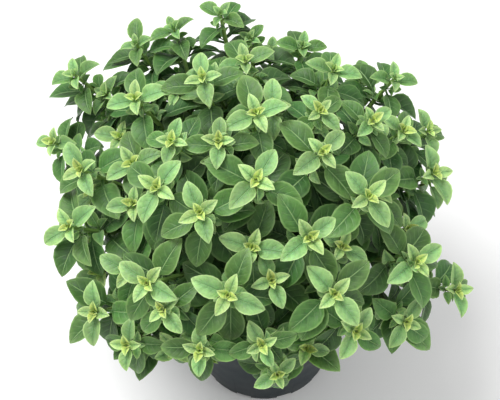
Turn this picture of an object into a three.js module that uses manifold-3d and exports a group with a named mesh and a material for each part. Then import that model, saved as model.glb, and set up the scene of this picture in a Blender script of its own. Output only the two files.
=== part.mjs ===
// Potted bush basil: a tapered plastic pot, its fill of compost, and a dome of leafy stems.
// Millimetres, +Z up. The origin is the middle of the pot's base, on the surface it stands on.
// Each leafy stem is one closed body: a square stem that forks once, with its leaves in crossed pairs.

import * as THREE from 'three';
import { mergeVertices } from 'three/addons/utils/BufferGeometryUtils.js';
import Module from 'manifold-3d';

const wasm = await Module();
wasm.setup();

const degrees = THREE.MathUtils.degToRad;
const UP = new THREE.Vector3(0, 0, 1);

// Driving dimensions of the pot
const POT_HEIGHT = 93;
const RIM_RADIUS = 60;
const BASE_RADIUS = 40.5;
const WALL = 1.4;
const LIP_STEP = 1.6;
const LIP_HEIGHT = 9;
const LIP_CHAMFER = 1;
const FOOT_WIDTH = 5;
const FOOT_HEIGHT = 3.5;
const POT_SIDES = 32;
const DRAIN_COUNT = 5;
const DRAIN_RADIUS = 4;
const DRAIN_CIRCLE = 26;
const DRAIN_SIDES = 8;
const DRAIN_CUT = 24;
const NOTCH_COUNT = 10;
const NOTCH_WIDTH = 9.5;
const NOTCH_HEIGHT = 3;
const NOTCH_REACH = 20;
const CENTRE_PAD_RADIUS = 16;
const STEP_RUN = 1.2;

// Driving dimensions of the compost
const FILL_BELOW_RIM = 11;
const SEAT_GAP = 0.35;
const CRUMB_HEIGHT = 1.6;
const ROOT_DEPTH = 14;
const GROUND = POT_HEIGHT - FILL_BELOW_RIM;
const SOIL_SIDES = 16;
const SOIL_RINGS = [0, 22, 42];

// The crown that the shoot tips stand on, an ellipsoid
const CROWN_CENTRE = new THREE.Vector3(-8, 0, 130);
const CROWN_AXES = new THREE.Vector3(104, 104, 90);
const OUTWARD_LEAN = degrees(27);
const LEAN_POWER = 1.2;
const LEAN_SHARE_MOST = 1.1;
const LEAN_TO_LIGHT = 0.42;
const LEAN_MORE_BEHIND = 0.16;

// How the photograph looks at the plant, in millimetres and pixels
const VIEW_ELEVATION = degrees(52);
const VIEW_DISTANCE = 650;
const VIEW_FOCAL = 1204;
const VIEW_CENTRE = [250, 200];
const VIEW_AIM = new THREE.Vector3(-8.6, 0, 147.5);

// Where no leaf hangs in the photograph, so that the pot is seen: between two pixels across,
// from a third pixel down
const CLEAR_VIEW = [
  [147, 190, 364], [211, 238, 363], [238, 252, 374], [252, 294, 390], [294, 306, 367], [306, 334, 357],
];

// Shoots that the photograph shows: pixel across, pixel down, the way their second
// leaf pair points in degrees from the right, and their size against a full shoot
const SHOOTS_IN_VIEW = [
  [76, 76, 13, 0.9],
  [106, 95, 60, 0.7],
  [137, 45, 101, 0.9],
  [174, 30, 30, 0.8],
  [136, 99, 5, 1],
  [221, 16, 150, 0.85],
  [203, 79, 105, 0.9],
  [245, 62, 15, 0.9],
  [250, 40, 60, 0.7],
  [256, 114, 20, 1],
  [302, 48, 0, 0.85],
  [320, 112, 135, 0.75],
  [333, 71, 170, 0.95],
  [393, 80, 0, 0.9],
  [372, 122, 40, 0.8],
  [402, 131, 150, 0.8],
  [427, 132, 100, 0.85],
  [322, 153, 40, 1],
  [55, 143, 175, 0.85],
  [82, 170, 120, 1],
  [157, 188, 60, 1],
  [172, 142, 80, 0.75],
  [219, 142, 90, 0.8],
  [70, 227, 28, 1],
  [200, 213, 116, 1],
  [256, 181, 58, 1.05],
  [309, 238, 35, 1],
  [368, 197, 130, 1.05],
  [433, 174, 100, 1],
  [148, 283, 145, 1],
  [163, 309, 130, 0.8],
  [96, 312, 85, 0.95],
  [228, 295, 150, 1.05],
  [200, 350, 80, 0.8],
  [277, 374, 20, 0.75],
  [262, 345, 110, 0.75],
  [334, 294, 137, 1.05],
  [355, 331, 60, 0.85],
  [415, 262, 32, 1],
  [455, 290, 90, 0.9],
  [405, 322, 60, 0.85],
  [128, 345, 90, 0.8],
];

// Further shoots, by a spiral round the crown: on the far side and under the skirt at its
// surface, and deeper between the shoots in view
const SPIRAL_TURNS = 170;
const SPIRAL_LOWEST = -0.25;
const SPIRAL_SPACING = 27;
const SPIRAL_SIDE = 0.05;
const SPIRAL_SMALLEST = 0.85;
const SPIRAL_LARGEST = 1.05;
const INNER_SPACING = 22;
const INNER_DEPTH = 0.84;
const GOLDEN_ANGLE = Math.PI * (3 - Math.sqrt(5));

// A shoot's leaf pairs from the tip down: where the top and the foot of the pair's root stand
// below the tip, the length of its stalk and blade, its width, how far it leans from the stem
// at its root, how much more it bends by its tip, how far its halves fold up, and where along
// its blade it has its sections
const PAIRS = [
  { top: 0, foot: 1.5, stalk: 0.5, blade: 10.5, width: 6.8, lean: 46, bend: 38, fold: 26, stations: [0.42] },
  { top: 1.5, foot: 3.2, stalk: 2.2, blade: 15, width: 10, lean: 62, bend: 36, fold: 18, stations: [0.3, 0.7] },
  { top: 9, foot: 11, stalk: 4.5, blade: 20, width: 13.2, lean: 72, bend: 36, fold: 14, stations: [0.28, 0.7] },
  { top: 22, foot: 24, stalk: 4.5, blade: 22, width: 15, lean: 80, bend: 36, fold: 12, stations: [0.28, 0.7] },
];
const SIZE_SPREAD = 0.09;
const LEAN_SPREAD = degrees(9);
const TURN_SPREAD = degrees(10);
const RIB_THICKNESS = 1;
const LEAF_GAP = 0.25;

// How a leaf's width grows and shrinks along its blade, as the power of a sine
const WIDTH_POWER = 0.8;
const WIDTH_SKEW = 0.78;

// Ways that a leaf gives way to what is already there: turn and lean in degrees, size
const LEAF_TRIES = [
  [0, 0, 1], [8, 0, 1], [-8, 0, 1], [0, -10, 1], [0, 10, 1], [16, 0, 1], [-16, 0, 1],
  [10, -12, 1], [-10, -12, 1], [10, 12, 1], [-10, 12, 1], [0, -20, 1], [0, 20, 1],
  [0, -8, 0.88], [14, -8, 0.88], [-14, -8, 0.88], [0, 12, 0.88], [22, 6, 0.9], [-22, 6, 0.9],
  [18, -22, 0.9], [-18, -22, 0.9], [0, -28, 0.85], [0, 26, 0.85], [0, 0, 0.76], [18, 14, 0.76],
  [-18, 14, 0.76], [0, -20, 0.7], [24, -20, 0.7], [-24, -20, 0.7], [0, 24, 0.66], [0, -34, 0.62],
];
const LEAF_ORDER = [1, 0, 2, 3];

// Stems
const TIP_HALF_WIDTH = 0.7;
const STEM_TAPER = 0.012;
const ROOT_HALF_WIDTH = 1.7;
const ROOT_SPREAD = 46;
const ROOT_SPACING = 9;
const ROOT_FAN_FOOT = 0.4;
const ROOT_PUSHES = 60;
const PAIR_REACH = 62;
const FORK_SHARE = 0.52;
const FORK_LENGTH = 3;
const FORK_MIN = 44;
const MAIN_SPARES = 2;
const BRANCH_START = 4;
const BRANCH_SPARES = 1;
const BRANCH_SPREAD = 1.3;
const BRANCH_RISE = 0.3;
const BUD_HEIGHT = 1.2;
const STEM_RISE = 0.42;
const STEM_STRAIGHT = 0.34;
const STEM_TRIES = [0, 0.06, -0.06, 0.12, -0.12, 0.18];

// Finishes
const LEAF_GREEN = 0x5f9a3c;
const LEAF_ROUGHNESS = 0.55;
const POT_GREY = 0x3a4449;
const POT_ROUGHNESS = 0.45;
const COMPOST_BROWN = 0x3b2a1e;
const COMPOST_ROUGHNESS = 0.95;

const SEED = 20260512;

// A small seeded generator, so that every build draws the same plant
function seededRandom(seed) {
  let state = seed;
  return () => {
    state = (state + 0x6d2b79f5) | 0;
    let mixed = Math.imul(state ^ (state >>> 15), 1 | state);
    mixed = (mixed + Math.imul(mixed ^ (mixed >>> 7), 61 | mixed)) ^ mixed;
    return ((mixed ^ (mixed >>> 14)) >>> 0) / 4294967296;
  };
}

// A geometry with positions only, its corners shared between its faces
function merged(geometry) {
  const bare = geometry.clone();
  bare.deleteAttribute('normal');
  bare.deleteAttribute('uv');
  return mergeVertices(bare);
}

// Solids from closed geometry, and geometry from solids
function solidFrom(geometry) {
  const shared = merged(geometry);
  return new wasm.Manifold(new wasm.Mesh({
    numProp: 3,
    vertProperties: shared.attributes.position.array,
    triVerts: new Uint32Array(shared.index.array),
  }));
}

function geometryFrom(solid) {
  const mesh = solid.getMesh();
  const geometry = new THREE.BufferGeometry();
  geometry.setAttribute('position', new THREE.BufferAttribute(mesh.vertProperties, 3));
  geometry.setIndex(new THREE.BufferAttribute(mesh.triVerts, 1));
  geometry.computeVertexNormals();
  return geometry;
}

function boxSolid(width, depth, height, place) {
  const box = new THREE.BoxGeometry(width, depth, height);
  box.applyMatrix4(place);
  return solidFrom(box);
}

function turned(profile, sides) {
  const points = profile.map(([r, z]) => new THREE.Vector2(r, z));
  const lathe = new THREE.LatheGeometry(points, sides);
  lathe.rotateX(Math.PI / 2);
  return lathe;
}

// The pot's outer and inner radius at a height on its tapered wall
function wallRadius(z) {
  const underLip = RIM_RADIUS - LIP_STEP;
  return BASE_RADIUS + (underLip - BASE_RADIUS) * (z / POT_HEIGHT);
}

function innerRadius(z) {
  return wallRadius(z) - WALL;
}

// The profile of the pot's floor from its axis out, at a height above the surface it
// stands on: a flat pad in the middle, and a raised ring that the drain holes are in
function floorProfile(lift) {
  return [
    [0, lift],
    [CENTRE_PAD_RADIUS, lift],
    [CENTRE_PAD_RADIUS + STEP_RUN, FOOT_HEIGHT + lift],
  ];
}

function makePot() {
  const lipFoot = POT_HEIGHT - LIP_HEIGHT;
  const floor = FOOT_HEIGHT + WALL;
  const profile = [
    ...floorProfile(0),
    [BASE_RADIUS - FOOT_WIDTH - STEP_RUN, FOOT_HEIGHT],
    [BASE_RADIUS - FOOT_WIDTH, 0],
    [BASE_RADIUS, 0],
    [wallRadius(lipFoot), lipFoot],
    [wallRadius(lipFoot) + LIP_STEP, lipFoot + LIP_CHAMFER],
    [RIM_RADIUS, POT_HEIGHT],
    [innerRadius(POT_HEIGHT), POT_HEIGHT],
    [innerRadius(floor), floor],
    ...floorProfile(WALL).reverse(),
  ];
  let pot = solidFrom(turned(profile, POT_SIDES));
  for (let i = 0; i < DRAIN_COUNT; i++) {
    const angle = (i / DRAIN_COUNT) * 2 * Math.PI;
    const hole = new THREE.CylinderGeometry(DRAIN_RADIUS, DRAIN_RADIUS, DRAIN_CUT, DRAIN_SIDES);
    hole.rotateX(Math.PI / 2);
    hole.translate(DRAIN_CIRCLE * Math.cos(angle), DRAIN_CIRCLE * Math.sin(angle), 0);
    pot = pot.subtract(solidFrom(hole));
  }
  for (let i = 0; i < NOTCH_COUNT; i++) {
    const place = new THREE.Matrix4().makeRotationZ((i / NOTCH_COUNT) * 2 * Math.PI);
    place.multiply(new THREE.Matrix4().makeTranslation(BASE_RADIUS, 0, 0));
    pot = pot.subtract(boxSolid(NOTCH_REACH, NOTCH_WIDTH, 2 * NOTCH_HEIGHT, place));
  }
  return geometryFrom(pot);
}

// The way that is up in the photograph
function viewUp() {
  return new THREE.Vector3(0, Math.sin(VIEW_ELEVATION), Math.cos(VIEW_ELEVATION));
}

// Whether the photograph would show a point where no leaf hangs
function isInClearView(point) {
  const away = point.clone().sub(VIEW_AIM);
  const depth = VIEW_DISTANCE + away.y * Math.cos(VIEW_ELEVATION) - away.z * Math.sin(VIEW_ELEVATION);
  const across = VIEW_CENTRE[0] + (VIEW_FOCAL * away.x) / depth;
  const down = VIEW_CENTRE[1] - (VIEW_FOCAL * away.dot(viewUp())) / depth;
  return CLEAR_VIEW.some(([left, right, top]) => across > left && across < right && down > top);
}

// A ray of the photograph, and where it first meets the crown, or comes closest to it
function viewRay(across, down) {
  const back = new THREE.Vector3(0, -Math.cos(VIEW_ELEVATION), Math.sin(VIEW_ELEVATION));
  const ray = back.clone().multiplyScalar(-VIEW_FOCAL);
  ray.x += across - VIEW_CENTRE[0];
  ray.addScaledVector(viewUp(), VIEW_CENTRE[1] - down);
  return { eye: VIEW_AIM.clone().addScaledVector(back, VIEW_DISTANCE), ray: ray.normalize() };
}

function crownPoint(across, down) {
  const { eye, ray } = viewRay(across, down);
  const start = eye.clone().sub(CROWN_CENTRE).divide(CROWN_AXES);
  const step = ray.clone().divide(CROWN_AXES);
  const a = step.dot(step);
  const b = start.dot(step);
  const c = start.dot(start) - 1;
  const distance = (-b - Math.sqrt(Math.max(b * b - a * c, 0))) / a;
  return eye.addScaledVector(ray, distance);
}

// Which way a shoot points: up, out from the middle of the crown, and a little to the light
function shootAxis(tip) {
  const out = new THREE.Vector3(tip.x - CROWN_CENTRE.x, tip.y - CROWN_CENTRE.y, 0);
  const share = Math.min(out.length() / CROWN_AXES.x, LEAN_SHARE_MOST);
  const lean = OUTWARD_LEAN * share ** LEAN_POWER;
  const axis = UP.clone().multiplyScalar(Math.cos(lean));
  axis.addScaledVector(out.normalize(), Math.sin(lean));
  const behind = THREE.MathUtils.clamp((tip.y - CROWN_CENTRE.y) / CROWN_AXES.y, -1, 1);
  axis.y -= LEAN_TO_LIGHT + LEAN_MORE_BEHIND * behind;
  return axis.normalize();
}

function shootsInView() {
  return SHOOTS_IN_VIEW.map(([across, down, turn, size]) => {
    const tip = crownPoint(across, down);
    const angle = degrees(turn);
    const facing = new THREE.Vector3(Math.cos(angle), 0, 0).addScaledVector(viewUp(), Math.sin(angle));
    return { tip, axis: shootAxis(tip), facing, size };
  });
}

function furtherShoots(seen, random) {
  const shoots = [];
  const stands = seen.map((shoot) => shoot.tip);
  const toEye = new THREE.Vector3(0, -Math.cos(VIEW_ELEVATION), Math.sin(VIEW_ELEVATION));
  for (let i = 0; i < SPIRAL_TURNS; i++) {
    const height = 1 - (i / SPIRAL_TURNS) * (1 - SPIRAL_LOWEST);
    const angle = i * GOLDEN_ANGLE;
    const girth = Math.sqrt(1 - height * height);
    const unit = new THREE.Vector3(girth * Math.cos(angle), girth * Math.sin(angle), height);
    const isInView = unit.clone().divide(CROWN_AXES).normalize().dot(toEye) > SPIRAL_SIDE;
    const stand = unit.clone().multiply(CROWN_AXES).add(CROWN_CENTRE);
    const spacing = isInView ? INNER_SPACING : SPIRAL_SPACING;
    if (stands.some((other) => other.distanceTo(stand) < spacing)) continue;
    stands.push(stand);
    const depth = isInView ? INNER_DEPTH : 1;
    const tip = unit.multiply(CROWN_AXES).multiplyScalar(depth).add(CROWN_CENTRE);
    const turn = random() * Math.PI;
    const facing = new THREE.Vector3(Math.cos(turn), Math.sin(turn), 0);
    const size = THREE.MathUtils.lerp(SPIRAL_SMALLEST, SPIRAL_LARGEST, random());
    shoots.push({ tip, axis: shootAxis(tip), facing, size });
  }
  return shoots;
}

// Two neighbouring shoots grow from one forked stem. A shoot without a free neighbour stands alone.
function pairShoots(shoots) {
  const free = [...shoots];
  const plants = [];
  while (free.length) {
    const first = free.shift();
    let nearest = -1;
    let reach = PAIR_REACH;
    free.forEach((other, i) => {
      const gap = other.tip.distanceTo(first.tip);
      if (gap < reach) {
        reach = gap;
        nearest = i;
      }
    });
    plants.push(nearest < 0 ? [first] : [first, free.splice(nearest, 1)[0]]);
  }
  return plants;
}

// Where each stem stands in the compost: fanned as its shoots are, then pushed apart
function plantRoots(plants) {
  const roots = plants.map((shoots) => {
    const middle = new THREE.Vector3();
    shoots.forEach((shoot) => middle.addScaledVector(shoot.tip, 1 / shoots.length));
    middle.sub(CROWN_CENTRE).divide(CROWN_AXES);
    const polar = Math.atan2(Math.hypot(middle.x, middle.y), middle.z + ROOT_FAN_FOOT);
    const radius = ROOT_SPREAD * Math.min(polar / (Math.PI / 2), 1);
    return new THREE.Vector2(middle.x, middle.y).setLength(radius);
  });
  for (let pass = 0; pass < ROOT_PUSHES; pass++) {
    for (const a of roots) {
      for (const b of roots) {
        const apart = a.clone().sub(b);
        const short = ROOT_SPACING - apart.length();
        if (a === b || short <= 0) continue;
        apart.setLength(short / 2);
        a.add(apart);
        b.sub(apart);
      }
      a.clampLength(0, ROOT_SPREAD);
    }
  }
  return roots;
}

// Triangles already placed, kept in a grid of cells so that a new one meets only its neighbours
const CELL = 8;
const CELLS_ACROSS = 128;
const FLAT = 1e-12;
const placed = new Map();

function cellsOf(triangle) {
  const low = [Infinity, Infinity, Infinity];
  const high = [-Infinity, -Infinity, -Infinity];
  for (const point of triangle.points) {
    point.toArray().forEach((value, k) => {
      low[k] = Math.min(low[k], value);
      high[k] = Math.max(high[k], value);
    });
  }
  const [lowX, lowY, lowZ] = low.map((value) => Math.floor(value / CELL));
  const [highX, highY, highZ] = high.map((value) => Math.floor(value / CELL));
  const keys = [];
  for (let x = lowX; x <= highX; x++) {
    for (let y = lowY; y <= highY; y++) {
      for (let z = lowZ; z <= highZ; z++) keys.push((x * CELLS_ACROSS + y) * CELLS_ACROSS + z);
    }
  }
  triangle.low = low;
  triangle.high = high;
  return keys;
}

function remember(triangle) {
  for (const key of cellsOf(triangle)) {
    if (!placed.has(key)) placed.set(key, []);
    placed.get(key).push(triangle);
  }
}

function boxesMeet(a, b) {
  return [0, 1, 2].every((k) => a.low[k] <= b.high[k] && b.low[k] <= a.high[k]);
}

const edge1 = new THREE.Vector3();
const edge2 = new THREE.Vector3();
const along = new THREE.Vector3();
const normal = new THREE.Vector3();
const offset = new THREE.Vector3();
const turnedOffset = new THREE.Vector3();

function edgeCrosses(from, to, [a, b, c]) {
  edge1.subVectors(b, a);
  edge2.subVectors(c, a);
  along.subVectors(to, from);
  normal.crossVectors(along, edge2);
  const scale = edge1.dot(normal);
  if (Math.abs(scale) < FLAT) return false;
  offset.subVectors(from, a);
  const u = offset.dot(normal) / scale;
  if (u < 0 || u > 1) return false;
  turnedOffset.crossVectors(offset, edge1);
  const v = along.dot(turnedOffset) / scale;
  if (v < 0 || u + v > 1) return false;
  const t = edge2.dot(turnedOffset) / scale;
  return t >= 0 && t <= 1;
}

function trianglesCross(a, b) {
  for (let i = 0; i < 3; i++) {
    if (edgeCrosses(a.points[i], a.points[(i + 1) % 3], b.points)) return true;
    if (edgeCrosses(b.points[i], b.points[(i + 1) % 3], a.points)) return true;
  }
  return false;
}

// Whether a triangle meets one that is placed. Those that share a corner are neighbours.
function meetsPlaced(triangle) {
  for (const key of cellsOf(triangle)) {
    for (const other of placed.get(key) ?? []) {
      if (!boxesMeet(triangle, other)) continue;
      if (triangle.points.some((point) => other.points.includes(point))) continue;
      if (triangle.atRoot && other.plant === triangle.plant && other.isStem) continue;
      if (trianglesCross(triangle, other)) return true;
    }
  }
  return false;
}

// The surface of one leafy stem, grown ring by ring from the root
class LeafyStem {
  constructor(name) {
    this.name = name;
    this.triangles = [];
    this.sites = [];
  }

  add(points, isStem = false) {
    this.triangles.push({ points, isStem, plant: this.name });
  }

  // The four corners of a square section, in the order of its sides
  static section(centre, u, v, half) {
    const corner = (a, b) => centre.clone().addScaledVector(u, a * half).addScaledVector(v, b * half);
    return [corner(1, -1), corner(1, 1), corner(-1, 1), corner(-1, -1)];
  }

  // Joins two sections. Sides that are listed stay open for a leaf or a branch, and are returned.
  join(lower, upper, openSides = []) {
    const open = new Map();
    for (let side = 0; side < 4; side++) {
      const next = (side + 1) % 4;
      const quad = [lower[side], lower[next], upper[next], upper[side]];
      if (openSides.includes(side)) open.set(side, quad);
      else this.closeQuad(quad);
    }
    return open;
  }

  closeQuad([a, b, c, d]) {
    this.add([a, b, c], true);
    this.add([a, c, d], true);
  }

  closeFoot([a, b, c, d]) {
    this.add([a, d, c], true);
    this.add([a, c, b], true);
  }

  closeTip(ring, apex) {
    for (let i = 0; i < 4; i++) this.add([ring[i], ring[(i + 1) % 4], apex], true);
  }

  toGeometry() {
    const numbers = new Map();
    const positions = [];
    const index = [];
    for (const { points } of this.triangles) {
      for (const point of points) {
        if (!numbers.has(point)) {
          numbers.set(point, positions.length / 3);
          positions.push(point.x, point.y, point.z);
        }
        index.push(numbers.get(point));
      }
    }
    const geometry = new THREE.BufferGeometry();
    geometry.setAttribute('position', new THREE.Float32BufferAttribute(positions, 3));
    geometry.setIndex(index);
    geometry.computeVertexNormals();
    return geometry;
  }
}

// Half the width of a stem, thicker with the distance below its tip
function halfWidth(belowTip) {
  return Math.min(TIP_HALF_WIDTH + STEM_TAPER * belowTip, ROOT_HALF_WIDTH);
}

// A direction turned as little as it takes to stand square to another
function squareTo(direction, axis) {
  return direction.clone().addScaledVector(axis, -direction.dot(axis)).normalize();
}

// The signed angle from one direction to another, round an axis
function angleAbout(axis, from, to) {
  return Math.atan2(axis.dot(from.clone().cross(to)), from.dot(to));
}

// Where a stem has its sections, from its foot to its tip, each by its distance below the tip
function stemStops(from, spares, forkBelow, size) {
  const pairs = PAIRS.filter((pair) => pair.foot * size < from - FORK_LENGTH);
  const lowest = pairs.at(-1).foot * size;
  const to = forkBelow ? forkBelow + FORK_LENGTH : lowest;
  const stops = [];
  for (let i = 1; i <= spares; i++) stops.push({ below: from + ((to - from) * i) / (spares + 1) });
  if (forkBelow) {
    stops.push({ below: to }, { below: forkBelow, isFork: true }, { below: (forkBelow + lowest) / 2 });
  }
  for (const pair of pairs.toReversed()) {
    if (pair.foot * size < stops.at(-1).below) stops.push({ below: pair.foot * size });
    stops.push({ below: pair.top * size, pair });
  }
  return { stops, lowest };
}

// Grows a stem along a curve from its first section to its tip. Its frame turns a little on the
// way, so that the leaf pairs face as the shoot asks. The side that looks most towards the
// second shoot stays open at the fork, and is returned for the branch.
function growStem(stem, curve, from, firstRing, firstU, shoot, spares, forkBelow, towards) {
  const length = curve.getLength();
  const { stops, lowest } = stemStops(from, spares, forkBelow, shoot.size);
  const tangentAt = (below) => curve.getTangentAt(1 - below / length);
  let u = firstU;
  for (const stop of stops) {
    u = squareTo(u, tangentAt(stop.below));
    stop.u = u;
  }
  const axis = tangentAt(0);
  const needed = angleAbout(axis, u, squareTo(shoot.facing, axis));
  const quarters = Math.round(needed / (Math.PI / 2));
  const twist = needed - quarters * (Math.PI / 2);
  const twistFrom = forkBelow ?? from;

  let ring = firstRing;
  let opening = null;
  for (const stop of stops) {
    const tangent = tangentAt(stop.below);
    const share = THREE.MathUtils.clamp((twistFrom - stop.below) / (twistFrom - lowest), 0, 1);
    const sideU = stop.u.clone().applyAxisAngle(tangent, twist * share);
    const sideV = tangent.clone().cross(sideU);
    const outward = [sideU, sideV, sideU.clone().negate(), sideV.clone().negate()];
    const centre = curve.getPointAt(1 - stop.below / length);
    const next = LeafyStem.section(centre, sideU, sideV, halfWidth(stop.below));
    if (stop.isFork) {
      const reach = towards.clone().sub(centre);
      const looks = outward.map((way) => way.dot(reach));
      const side = looks.indexOf(Math.max(...looks));
      opening = { quad: stem.join(ring, next, [side]).get(side), outward: outward[side], axis: tangent };
    } else if (stop.pair) {
      const rank = PAIRS.indexOf(stop.pair);
      const sides = (rank + quarters) % 2 ? [0, 2] : [1, 3];
      for (const [side, quad] of stem.join(ring, next, sides)) {
        stem.sites.push({ stem, quad, rank, outward: outward[side], axis: tangent, size: shoot.size });
      }
    } else {
      stem.join(ring, next);
    }
    ring = next;
  }
  stem.closeTip(ring, curve.getPointAt(1).addScaledVector(axis, BUD_HEIGHT));
  return opening;
}

// A curve that leaves one point in a given way and arrives at a shoot's tip along its axis
function reachFor(shoot, start, way, rise) {
  const span = shoot.tip.distanceTo(start);
  return new THREE.CubicBezierCurve3(
    start,
    start.clone().addScaledVector(way, span * rise),
    shoot.tip.clone().addScaledVector(shoot.axis, -span * STEM_STRAIGHT),
    shoot.tip,
  );
}

// One plant: a straight foot in the compost, a stem to its first shoot, and a branch to its second
function growPlant(name, root, [first, second], bow) {
  const stem = new LeafyStem(name);
  const u = footFacing(first, second);
  const v = UP.clone().cross(u);
  const foot = new THREE.Vector3(root.x, root.y, GROUND - ROOT_DEPTH + SEAT_GAP);
  const collar = new THREE.Vector3(root.x, root.y, GROUND + CRUMB_HEIGHT);
  const footRing = LeafyStem.section(foot, u, v, ROOT_HALF_WIDTH);
  const collarRing = LeafyStem.section(collar, u, v, ROOT_HALF_WIDTH);
  stem.closeFoot(footRing);
  stem.join(footRing, collarRing);

  const curve = reachFor(first, collar, UP, STEM_RISE + bow);
  const length = curve.getLength();
  if (!second) {
    growStem(stem, curve, length, collarRing, u, first, MAIN_SPARES);
    return stem;
  }
  const forkBelow = Math.max(length * FORK_SHARE, FORK_MIN);
  const opening = growStem(stem, curve, length, collarRing, u, first, MAIN_SPARES, forkBelow, second.tip);
  const middle = new THREE.Vector3();
  opening.quad.forEach((corner) => middle.addScaledVector(corner, 1 / 4));
  const way = opening.outward.clone().multiplyScalar(BRANCH_SPREAD).add(opening.axis).normalize();
  const branch = reachFor(second, middle, way, BRANCH_RISE);
  const from = branch.getLength() - BRANCH_START;
  const start = BRANCH_START / branch.getLength();
  const tangent = branch.getTangentAt(start);
  const branchU = squareTo(opening.axis.clone().negate(), tangent);
  const branchV = tangent.clone().cross(branchU);
  const ring = LeafyStem.section(branch.getPointAt(start), branchU, branchV, halfWidth(from));
  stem.join(opening.quad, ring);
  growStem(stem, branch, from, ring, branchU, second, BRANCH_SPARES);
  return stem;
}

// The way a plant's square foot faces in the compost
function footFacing(first, second) {
  const way = second ? second.tip.clone().sub(first.tip) : first.facing;
  return squareTo(way, UP);
}

// The points and faces of one leaf. Its root is the open side of a stem, and its outline is a thin edge.
function leafFaces(site, [turn, lean, scale], gap) {
  const { draw } = site;
  const shape = PAIRS[site.rank];
  const size = site.size * draw.size * scale;
  const angle = degrees(turn) + draw.turn;
  const out = site.outward.clone().applyAxisAngle(site.axis, angle);
  const across = site.axis.clone().cross(out);
  const start = degrees(shape.lean + lean) + draw.lean;
  const length = (shape.stalk + shape.blade) * size;
  const curl = degrees(shape.bend) / length;
  const fold = degrees(shape.fold);
  const root = new THREE.Vector3();
  site.quad.forEach((corner) => root.addScaledVector(corner, 1 / 4));

  const rib = (run) => {
    const theta = start + curl * run;
    const point = root.clone();
    point.addScaledVector(site.axis, (Math.sin(theta) - Math.sin(start)) / curl);
    point.addScaledVector(out, (Math.cos(start) - Math.cos(theta)) / curl);
    const up = site.axis.clone().multiplyScalar(Math.sin(theta)).addScaledVector(out, -Math.cos(theta));
    return { point, up };
  };

  const [a, b, c, d] = site.quad;
  const faces = [[d, a, 'left'], [b, c, 'right'], [a, b, 'under'], [c, d, 'over']];
  const rings = shape.stations.map((share) => {
    const { point, up } = rib((shape.stalk + shape.blade * share) * size);
    const swell = Math.sin(Math.PI * share ** WIDTH_SKEW) ** WIDTH_POWER;
    const half = (shape.width * size * swell) / 2 + gap;
    const thick = (RIB_THICKNESS * Math.min(size, 1)) / 2 + gap;
    const edge = point.clone().addScaledVector(up, half * Math.sin(fold));
    return {
      left: edge.clone().addScaledVector(across, -half * Math.cos(fold)),
      right: edge.clone().addScaledVector(across, half * Math.cos(fold)),
      over: point.clone().addScaledVector(up, thick),
      under: point.clone().addScaledVector(up, -thick),
    };
  });
  const { left, right, over, under } = rings[0];
  const list = faces.map(([p, q, key]) => [p, q, rings[0][key]]);
  list.push([d, left, over], [c, over, right], [a, under, left], [b, right, under]);
  list.forEach((face) => { face.atRoot = true; });
  rings.slice(1).forEach((ring, i) => {
    const last = rings[i];
    list.push([last.over, last.left, ring.left], [last.over, ring.left, ring.over]);
    list.push([last.right, last.over, ring.right], [last.over, ring.over, ring.right]);
    list.push([last.left, last.under, ring.left], [last.under, ring.under, ring.left]);
    list.push([last.under, last.right, ring.right], [last.under, ring.right, ring.under]);
  });
  const tip = rib(length + gap).point;
  const end = rings.at(-1);
  list.push([end.over, end.left, tip], [end.right, end.over, tip]);
  list.push([end.under, end.right, tip], [end.left, end.under, tip]);
  return list;
}

// Sets a leaf on its site in the first way that is clear of everything placed, or closes the side
function placeLeaf(site) {
  const plant = site.stem.name;
  const isBlocked = (points) => meetsPlaced({ points, plant, atRoot: points.atRoot });
  const way = LEAF_TRIES.find((each) => {
    const faces = leafFaces(site, each, LEAF_GAP);
    return !faces.flat().some(isInClearView) && !faces.some(isBlocked);
  });
  if (!way) {
    site.stem.closeQuad(site.quad);
    return;
  }
  for (const points of leafFaces(site, way, 0)) {
    site.stem.add(points);
    remember(site.stem.triangles.at(-1));
  }
}

// Grows every stem, each in the first way that is clear of those before it
function growStems(plants, roots) {
  return plants.map((shoots, i) => {
    const name = `leafy_stem_${String(i + 1).padStart(2, '0')}`;
    let stem = null;
    for (const bow of STEM_TRIES) {
      stem = growPlant(name, roots[i], shoots, bow);
      if (!stem.triangles.some(meetsPlaced)) break;
    }
    stem.triangles.forEach(remember);
    return stem;
  });
}

// Sets the leaves on every stem, the pairs that show most first
function setLeaves(stems, random) {
  const sites = stems.flatMap((stem) => stem.sites);
  const spread = (most) => most * (2 * random() - 1);
  for (const site of sites) {
    site.draw = { size: 1 + spread(SIZE_SPREAD), lean: spread(LEAN_SPREAD), turn: spread(TURN_SPREAD) };
  }
  for (const rank of LEAF_ORDER) sites.filter((site) => site.rank === rank).forEach(placeLeaf);
}

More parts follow.
